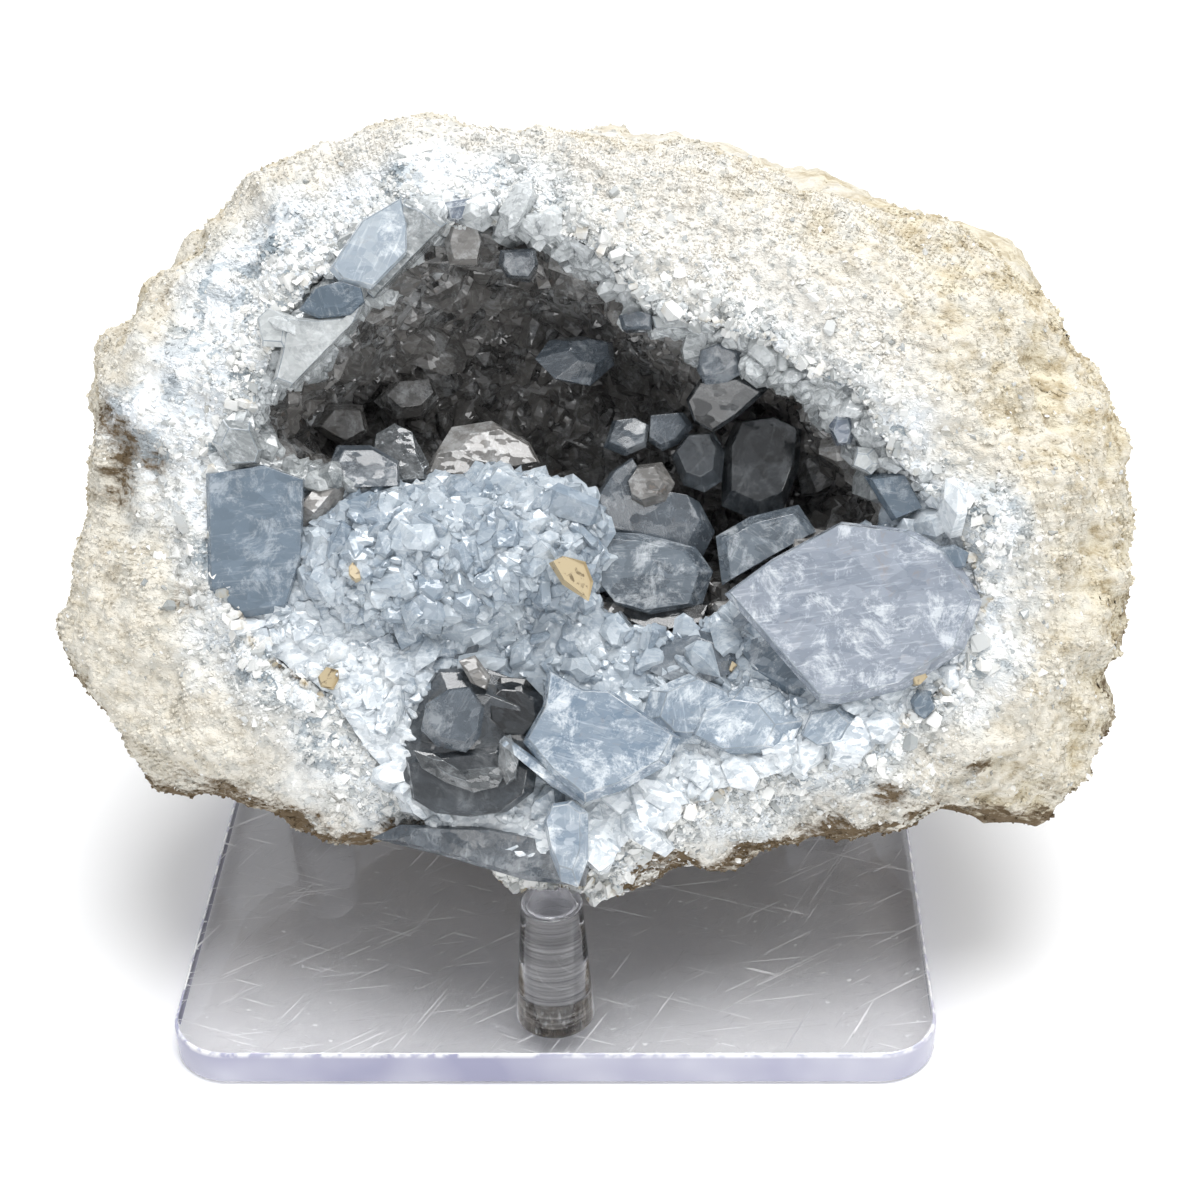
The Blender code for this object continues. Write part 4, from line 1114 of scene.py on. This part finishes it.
class GEODE_OT_sugar_grains(bpy.types.Operator):
    """Scatter the small white crystals that make the rim sparkle"""

    bl_idname = "geode.sugar_grains"
    bl_label = "Sugar grains"

    def execute(self, context):
        sizes, colours = context.scene.geode_sizes, context.scene.geode_colours
        points, _, normals, uvw, on_rim, fields = rock_surface(sizes)
        dirt_and_shade = fields["dirt_and_shade"]
        # The grains take the rock's dirt and stain, painted shade included
        soil_and_shade = (dirt_and_shade + fields["stain_and_shade"]).clip(0, 1)
        near = 1 - smooth_step(mouth_distance(uvw), 0, 22 * MM)
        clumps = smooth_step(grain_noise(uvw, 9 * MM, 77), -0.5, 0.3)
        dice = np.random.default_rng(501)

        chance = on_rim * (1 - 0.8 * dirt_and_shade) * (0.03 + near ** 2) * (0.3 + 0.7 * clumps)
        picked = dice.choice(len(points), sizes.sugar_count, replace=False, p=chance / chance.sum())
        width = MM * (0.4 + (0.3 + 0.85 * near[picked]) * dice.power(0.5, len(picked)) ** 2)
        axes = unit(normals[picked] + dice.normal(size=(len(picked), 3)) * 0.5)
        half_sizes = np.column_stack((width, width * dice.uniform(0.5, 1.0, len(picked))))
        flats = dice.uniform(0.2, 0.9, (len(picked), 2))
        grain_points, faces, shade = crystals(
            points[picked] + axes * (0.1 * width)[:, None], axes, half_sizes, width * 2.2, flats,
            GRAIN_SECTION, dice, rough=0.25)
        per_grain = len(grain_points) // len(picked)
        make_piece("sugar_grains", grain_points, faces, sugar_crystal(colours),
                   fields={"shade": shade, "dirt_and_shade": np.repeat(soil_and_shade[picked], per_grain)})

        chance = on_rim * (1 - 0.7 * dirt_and_shade) * (0.3 + 0.7 * clumps)
        picked = dice.choice(len(points), sizes.dust_count, replace=False, p=chance / chance.sum())
        width = MM * (0.28 + 0.3 * dice.power(0.6, len(picked)))
        dust_points, faces = shards(points[picked], normals[picked], width, dice)
        per_grain = len(dust_points) // len(picked)
        make_piece("sugar_dust", dust_points, faces, bpy.data.materials["sugary_host_rock"],
                   fields={name: np.repeat(field[picked], per_grain)
                                        for name, field in fields.items()})
        return {"FINISHED"}


# Crust

LINING_COLUMNS = 220
LINING_WALL_ROWS = 12
LINING_FLOOR_ROWS = 30
LINING_SPACE_ROWS = 60
# How far the lining is sunk in the rock, how far out of the mouth its edge lies, and how
# deep the deep crystals start
LINING_SINK = 0.8 * MM
LINING_END = HOLLOW_DEPTH - 1 * MM
LINING_FRONT = 4 * MM
DEEP = 2.5 * MM
# Height on the face that parts the icy crystals of the rim from the milky ones of the floor
RIM_HEIGHT = 2 * MM
SHELF_FRONT = 6 * MM
DRUSE_COUNT = 5600
SHELF_COUNT = 1500

# Crystals in layers: up to which place, half width from and to in mm, lean and stand
HOLLOW_LAYERS = ((110, 3.4, 6.5, 0.4, 0.25), (620, 1.8, 3.8, 0.4, 0.5), (2400, 0.8, 1.8, 0.4, 0.5))
RIM_LAYERS = ((160, 1.6, 3.2, 0.7, 0.5), (None, 0.7, 1.8, 0.7, 0.5))
FLOOR_LAYERS = ((220, 1.8, 4.2, 0.4, 0.5), (None, 0.7, 1.9, 0.4, 0.5))
SHELF_LAYERS = ((90, 2.6, 4.0, 0.4, 0.15), (480, 1.5, 3.4, 0.4, 0.5), (None, 0.6, 1.5, 0.4, 0.8))


def pocket_ring(ways, middle, radius, depth, angle):
    """Ring of a pocket: its radius times cos^0.7 of the angle, at its depth times sin^0.85."""
    plan = middle + ways * radius * math.cos(angle) ** POCKET_SIDE_POWER
    return np.column_stack((plan, np.full(len(ways), depth * math.sin(angle) ** POCKET_END_POWER)))


def lining_surface():
    """Closed grid of the lining: up the outside of the hollow, in over its floor and down the
    space, with lumps of lattice noise on all but the outside."""
    azimuth = np.linspace(0, 2 * math.pi, LINING_COLUMNS, endpoint=False)
    ways = np.column_stack((np.cos(azimuth), np.sin(azimuth)))
    outer = radius_at(HOLLOW_OUTLINE, azimuth)[:, None] + LINING_SINK
    inner = radius_at(SPACE_OUTLINE, azimuth)[:, None]
    rings = [pocket_ring(ways, HOLLOW_CENTRE, outer, LINING_END, angle)
             for angle in np.linspace(math.pi / 2, 0, LINING_WALL_ROWS + 1)[1:]]
    for share in np.linspace(0, 1, LINING_FLOOR_ROWS):
        plan = (HOLLOW_CENTRE + ways * outer) * (1 - share) + (SPACE_CENTRE + ways * inner) * share
        rings.append(np.column_stack((plan, np.full(LINING_COLUMNS, LINING_FRONT * (share - 1)))))
    rings += [pocket_ring(ways, SPACE_CENTRE, inner, SPACE_DEPTH, angle)
              for angle in np.linspace(0, math.pi / 2, LINING_SPACE_ROWS)[1:-1]]
    uvw = np.vstack(((*HOLLOW_CENTRE, LINING_END), *rings, (*SPACE_CENTRE, SPACE_DEPTH)))
    points = to_world(uvw)
    faces = outward(points, ring_faces(len(rings), LINING_COLUMNS))
    inside = np.arange(len(points)) > 1 + LINING_COLUMNS * LINING_WALL_ROWS
    lumps = 1.4 * grain_noise(uvw, 7 * MM, 31) + 0.9 * np.abs(grain_noise(uvw, 3 * MM, 32))
    return points + point_normals(points, faces) * (MM * lumps * inside)[:, None], faces


def shelf_surface(directions):
    """A blunt, turned ellipsoid: each direction's parts to the power 0.8, times the half sizes."""
    local = np.sign(directions) * np.abs(directions) ** SHELF_POWER * SHELF_HALF_SIZE
    u = local[:, 0] * math.cos(SHELF_TURN) - local[:, 1] * math.sin(SHELF_TURN)
    v = local[:, 0] * math.sin(SHELF_TURN) + local[:, 1] * math.cos(SHELF_TURN)
    return np.column_stack((u, v, local[:, 2])) + SHELF_MIDDLE


def shelf_mound():
    """The shelf's own body: its surface on a grid of polar and azimuth angles."""
    columns, rows = 72, 40
    polar, turn = np.meshgrid(np.linspace(0, math.pi, rows + 2)[1:-1],
                              np.linspace(0, 2 * math.pi, columns, endpoint=False), indexing="ij")
    ways = np.stack((np.sin(polar) * np.cos(turn), np.sin(polar) * np.sin(turn), np.cos(polar)), -1)
    ways = np.vstack(((0.0, 0.0, 1.0), ways.reshape(-1, 3), (0.0, 0.0, -1.0)))
    uvw = shelf_surface(ways)
    lumps = grain_noise(uvw, 6 * MM, 61) + 0.6 * grain_noise(uvw, 2.5 * MM, 62)
    uvw += ways * (MM * lumps)[:, None]
    points = to_world(uvw)
    return points, outward(points, ring_faces(rows, columns)), np.full(len(uvw), 0.3)


def layered_druse(places, ways, layers, dice):
    """Small crystals at the places in turn, one set for each layer."""
    starts = [0] + [end for end, *_ in layers[:-1]]
    return [druse(places[start:end], ways[start:end], least * MM, most * MM, dice, tilt, stand)
            for start, (end, least, most, tilt, stand) in zip(starts, layers)]


class GEODE_OT_lining(bpy.types.Operator):
    """Build the smoky lining of the hollow and the small crystals on it"""

    bl_idname = "geode.lining"
    bl_label = "Lining"

    def execute(self, context):
        colours = context.scene.geode_colours
        smoky = celestite("smoky_celestite", colours.smoky, linear("#3a3a3a"), 0.35, 0.05, 0.3,
                          5 * MM, warmth=0.3, facets=0.2)
        ice = celestite("ice_clear_celestite", linear("#dde1e1"), linear("#7d8385"), 0.45, 0.06,
                        0.4, 3 * MM)
        milky = celestite("milky_celestite", colours.milky, linear("#8494a3"), 0.35, 0.06,
                          0.4, 4 * MM)
        points, faces = lining_surface()
        lining = make_piece("crust_lining", points, faces, smoky,
                            replaced=("crystal_crust",),
                            fields={"shade": np.full(len(points), 0.5), "frost": frost_at(points)})
        lining.data.materials.append(milky)
        lining.data.materials.append(ice)
        middle = to_face(points[faces].mean(axis=1))
        kind = np.where(middle[:, 1] > RIM_HEIGHT, 2, 1) * (middle[:, 2] < DEEP)
        lining.data.polygons.foreach_set("material_index", kind.astype(np.int32))

        dice = np.random.default_rng(502)
        inner = faces[faces.min(axis=1) > LINING_COLUMNS * LINING_WALL_ROWS]
        places, ways = scatter(points, inner, DRUSE_COUNT, dice)
        uvw = to_face(places)
        deep = uvw[:, 2] > DEEP
        upper = ~deep & (uvw[:, 1] > RIM_HEIGHT)
        lower = ~deep & (uvw[:, 1] <= RIM_HEIGHT)
        for name, where, layers, material, frost in (
            ("hollow_druse", deep, HOLLOW_LAYERS, smoky, 0.0),
            ("rim_druse", upper, RIM_LAYERS, ice, 0.5),
            ("floor_druse", lower, FLOOR_LAYERS, milky, 1.0),
        ):
            points, faces, shade = join(layered_druse(places[where], ways[where], layers, dice))
            make_piece(name, points, faces, material,
                       fields={"shade": shade, "frost": frost * frost_at(points)})

        mound = shelf_mound()
        points, faces, _ = mound
        front = faces[to_face(points)[faces].mean(axis=1)[:, 2] < SHELF_FRONT]
        places, ways = scatter(points, front, SHELF_COUNT, dice)
        points, faces, shade = join([mound, *layered_druse(places, ways, SHELF_LAYERS, dice)])
        make_piece("shelf_druse", points, faces, milky, fields={"shade": shade})
        return {"FINISHED"}


# Bodies of the large crystals: material, pale and deep colour, transmission, roughness, veils,
# cell in mm, warmth and facets; the pale blue is one of the user's colours
CRYSTAL_BODIES = {
    "veiled": ("veiled_celestite", "#b2bac6", "#5d6c80", 0.5, 0.05, 0.6, 7, 0.35, 0.13),
    "pale": ("pale_celestite", "#cdd7df", "#8093a6", 0.45, 0.05, 0.65, 5, 0.2, 0.13),
    "blue": ("blue_celestite", None, "#53626f", 0.45, 0.08, 0.34, 8, 0.0, 0.13),
    "streaked": ("streaked_celestite", "#7c8690", "#333c45", 0.55, 0.16, 0.28, 9, 0.3, 0.09),
    "cloudy": ("cloudy_celestite", "#98a4af", "#3d4751", 0.5, 0.14, 0.45, 8, 0.0, 0.09),
    "glassy": ("glassy_celestite", "#70777e", "#101315", 0.7, 0.12, 0.16, 11, 0.0, 0.12),
    "smoky": ("smoky_celestite",),
    "sugar": ("ice_clear_celestite",),
    "clear": ("water_clear_celestite", "#dfe4e6", "#6d7276", 0.85, 0.03, 0.25, 4, 0.0, 0.13),
}
# Kinds whose worn edges carry the painted highlight
HIGHLIGHTED_EDGE_KINDS = ("veiled", "pale", "sugar", "clear")


def crystal_body(kind, colours):
    """Material of a kind of large crystal, made here unless the lining has it already."""
    name, *values = CRYSTAL_BODIES[kind]
    if not values:
        return bpy.data.materials[name]
    pale, deep, transmission, roughness, veils, cell, warmth, facets = values
    return celestite(name, linear(pale) if pale else colours.blue, linear(deep), transmission,
                     roughness, veils, cell * MM, warmth, facets)


class GEODE_OT_large_crystals(bpy.types.Operator):
    """Build the large crystals, each on its own outline, and the stained chips"""

    bl_idname = "geode.large_crystals"
    bl_label = "Large crystals"

    def execute(self, context):
        sizes, colours = context.scene.geode_sizes, context.scene.geode_colours
        dice = np.random.default_rng(504)
        edge = crystal_edge()
        for kind in CRYSTAL_BODIES:
            points, faces, shade = join([traced_block(row, dice) for row in SHAPED_CRYSTALS
                                         if row[0] == kind])
            piece = make_piece(kind + "_crystals", points, faces, crystal_body(kind, colours),
                               fields={"shade": shade})
            worn = piece.modifiers.new("Worn edges", "BEVEL")
            worn.width = sizes.edge_wear
            worn.segments = 2
            worn.limit_method = "ANGLE"
            worn.angle_limit = math.radians(20)
            # These kinds' worn edges take the painted highlight
            if kind in HIGHLIGHTED_EDGE_KINDS:
                piece.data.materials.append(edge)
                worn.material = 1

        rows = np.array(STAINED_CHIPS)
        count = len(rows)
        axes = unit(np.tile((0.1, 0.25, -1.0), (count, 1)) @ FACE_AXES)
        points, faces, _ = crystals(
            to_world(rows[:, :3] * MM), axes, rows[:, 3:] * MM, np.full(count, 3 * MM),
            np.full((count, 2), 0.85), ROUGH_SECTION, dice, rough=0.3)
        make_piece("stained_chips", points, faces, stained_chip(colours))
        return {"FINISHED"}


# Stand

PLATE_CORNER = 10 * MM
PLATE_EDGE = 0.9 * MM
CORNER_STEPS = 14
EDGE_STEPS = 6
PEG_FOOT_RADIUS = 6.5 * MM
PEG_RIM = 1 * MM
PEG_COLUMNS = 64
SHARP_ANGLE = math.radians(40)


def plate_surface(low, high):
    """Rounded plate: a corner-rounded rectangle carried round a profile with rounded edges."""
    arc = np.linspace(0, math.pi / 2, CORNER_STEPS)
    turn = np.concatenate([arc + quarter * math.pi / 2 for quarter in range(4)])
    corner_x = np.repeat((1, -1, -1, 1), CORNER_STEPS) * ((high.x - low.x) / 2 - PLATE_CORNER)
    corner_y = np.repeat((1, 1, -1, -1), CORNER_STEPS) * ((high.y - low.y) / 2 - PLATE_CORNER)
    bend = np.linspace(0, math.pi / 2, EDGE_STEPS)
    inset = PLATE_EDGE * (np.cos(bend) - 1)
    drop = PLATE_EDGE * (1 - np.sin(bend))
    profile = np.vstack((
        ((-0.8 * PLATE_CORNER, low.z),), np.column_stack((inset, low.z + drop))[::-1],
        np.column_stack((inset, high.z - drop)), ((-0.8 * PLATE_CORNER, high.z),)))
    rings = [np.column_stack((corner_x + (PLATE_CORNER + inward) * np.cos(turn),
                              corner_y + (PLATE_CORNER + inward) * np.sin(turn),
                              np.full(len(turn), height))) for inward, height in profile]
    points = np.vstack((((0.0, 0.0, low.z),), *rings, ((0.0, 0.0, high.z),)))
    return points + box_middle(low, high), ring_faces(len(rings), len(turn))


def peg_surface(low, high):
    """Tapered peg: a profile of radius and height turned about its axis."""
    share = np.linspace(0, 1, 10)[1:-1]
    bend = np.linspace(0, math.pi / 2, 7)
    shoulder = high.z - PEG_RIM
    profile = np.vstack((
        ((0.6 * PEG_FOOT_RADIUS, low.z), (PEG_FOOT_RADIUS - 0.2 * MM, low.z),
         (PEG_FOOT_RADIUS, low.z + 0.2 * MM)),
        np.column_stack((PEG_FOOT_RADIUS + (PEG_TOP_RADIUS - PEG_FOOT_RADIUS) * share,
                         low.z + (shoulder - low.z) * share)),
        np.column_stack((PEG_TOP_RADIUS - PEG_RIM + PEG_RIM * np.cos(bend),
                         shoulder + PEG_RIM * np.sin(bend))),
        ((0.4 * PEG_TOP_RADIUS, high.z),)))
    radius, height = profile.T[:, :, None]
    turn = np.linspace(0, 2 * math.pi, PEG_COLUMNS, endpoint=False)
    rings = np.stack((radius * np.cos(turn), radius * np.sin(turn), height + 0 * turn), axis=-1)
    points = np.vstack(((0.0, 0.0, low.z), rings.reshape(-1, 3), (0.0, 0.0, high.z)))
    return points + box_middle(low, high), ring_faces(len(profile), PEG_COLUMNS)


class GEODE_OT_stand(bpy.types.Operator):
    """Build the clear plate and its three pegs"""

    bl_idname = "geode.stand"
    bl_label = "Clear stand"

    def execute(self, context):
        colours = context.scene.geode_colours
        acrylic, rod = clear_acrylic(colours), turned_rod(colours)
        points, faces = plate_surface(PLATE_LOW, PLATE_HIGH)
        plate = make_piece("clear_plate", points, faces, acrylic, smooth=True,
                           replaced=("stand_plate",))
        plate.data.materials.append(acrylic_edge())
        facing = np.zeros(len(faces) * 3, dtype=np.float32)
        plate.data.polygons.foreach_get("normal", facing)
        # The sheet's sides take the edge material, with its painted glow and highlight
        side = np.abs(facing.reshape(-1, 3)[:, 2]) < 0.97
        plate.data.polygons.foreach_set("material_index", side.astype(np.int32))
        plate.data.set_sharp_from_angle(angle=SHARP_ANGLE)
        for node in PEG_NODES:
            points, faces = peg_surface(*PEG_BOXES[node])
            peg = make_piece(node.replace("stand", "clear"), points, faces, rod,
                             smooth=True, replaced=(node,))
            peg.data.set_sharp_from_angle(angle=SHARP_ANGLE)
        return {"FINISHED"}


# Stage

# Each lamp's name, place and size in metres, and power in watts
LAMPS = (
    ("overhead", (0.1, -0.05, 0.95), 0.7, 9.5),
    ("front_left", (-0.7, -0.7, 0.8), 0.4, 0.5),
    ("front_right", (0.8, -0.6, 0.5), 0.4, 1.6),
    ("front_low", (0.15, -0.8, 0.16), 0.4, 1.1),
)
LAMP_TARGET = Vector((0.0, 0.0, 70 * MM))
FLOOR_HALF = 4.0
FLOOR_GAP = 0.2 * MM


class GEODE_OT_stage(bpy.types.Operator):
    """Lay the pale floor, hang the soft lights and set the camera"""

    bl_idname = "geode.stage"
    bl_label = "Stage"

    def execute(self, context):
        scene = context.scene
        material, tree, shader = new_material("pale_floor")
        connect(tree, shader, {"Base Color": linear("#f8f8f8"), "Roughness": 0.9})
        mesh = bpy.data.meshes.new("floor")
        corners = [(x * FLOOR_HALF, y * FLOOR_HALF, -FLOOR_GAP)
                   for x, y in ((-1, -1), (1, -1), (1, 1), (-1, 1))]
        mesh.from_pydata(corners, [], [(0, 1, 2, 3)])
        mesh.materials.append(material)
        floor = bpy.data.objects.new("floor", mesh)
        scene.collection.objects.link(floor)

        world = bpy.data.worlds.new("soft_studio")
        world.use_nodes = True
        connect(world.node_tree, world.node_tree.nodes["Background"],
                {"Color": linear("#f6f8fb"), "Strength": 0.78})
        scene.world = world
        for name, place, size, power in LAMPS:
            light = bpy.data.lights.new(name, "AREA")
            light.shape = "DISK"
            light.size = size
            light.energy = power
            lamp = bpy.data.objects.new(name, light)
            lamp.location = place
            lamp.rotation_mode = "QUATERNION"
            lamp.rotation_quaternion = (LAMP_TARGET - Vector(place)).to_track_quat("-Z", "Y")
            scene.collection.objects.link(lamp)

        camera = bpy.data.objects.new("camera", bpy.data.cameras.new("camera"))
        camera.location = CAMERA_PLACE
        camera.rotation_euler = (math.pi / 2 - FACE_LEAN, 0.0, 0.0)
        camera.data.lens = CAMERA_LENS
        camera.data.shift_x = CAMERA_SHIFT
        camera.data.clip_start = 0.01
        scene.collection.objects.link(camera)
        scene.camera = camera
        scene.view_settings.view_transform = "Standard"
        return {"FINISHED"}


OPERATORS = (
    GEODE_OT_host_rock,
    GEODE_OT_sugar_grains,
    GEODE_OT_lining,
    GEODE_OT_large_crystals,
    GEODE_OT_stand,
    GEODE_OT_stage,
)


class GEODE_PT_panel(bpy.types.Panel):
    """Buttons for each group of pieces, and the sizes and colours"""

    bl_idname = "GEODE_PT_panel"
    bl_label = "Celestite geode"
    bl_space_type = "VIEW_3D"
    bl_region_type = "UI"
    bl_category = "Geode"

    def draw(self, context):
        for operator in OPERATORS:
            self.layout.operator(operator.bl_idname)
        for group in (context.scene.geode_sizes, context.scene.geode_colours):
            box = self.layout.box()
            for name in group.bl_rna.properties.keys():
                if name not in ("rna_type", "name"):
                    box.prop(group, name)


def register():
    """Register the classes, and give every scene the geode's sizes and colours."""
    for item in (GeodeSizes, GeodeColours, *OPERATORS, GEODE_PT_panel):
        bpy.utils.register_class(item)
    bpy.types.Scene.geode_sizes = bpy.props.PointerProperty(type=GeodeSizes)
    bpy.types.Scene.geode_colours = bpy.props.PointerProperty(type=GeodeColours)


def unregister():
    """Take back what register did."""
    del bpy.types.Scene.geode_colours
    del bpy.types.Scene.geode_sizes
    for item in reversed((GeodeSizes, GeodeColours, *OPERATORS, GEODE_PT_panel)):
        bpy.utils.unregister_class(item)


def main():
    """Build every piece."""
    register()
    for operator in OPERATORS:
        group, name = operator.bl_idname.split(".")
        getattr(getattr(bpy.ops, group), name)()


if __name__ == "__main__":
    main()
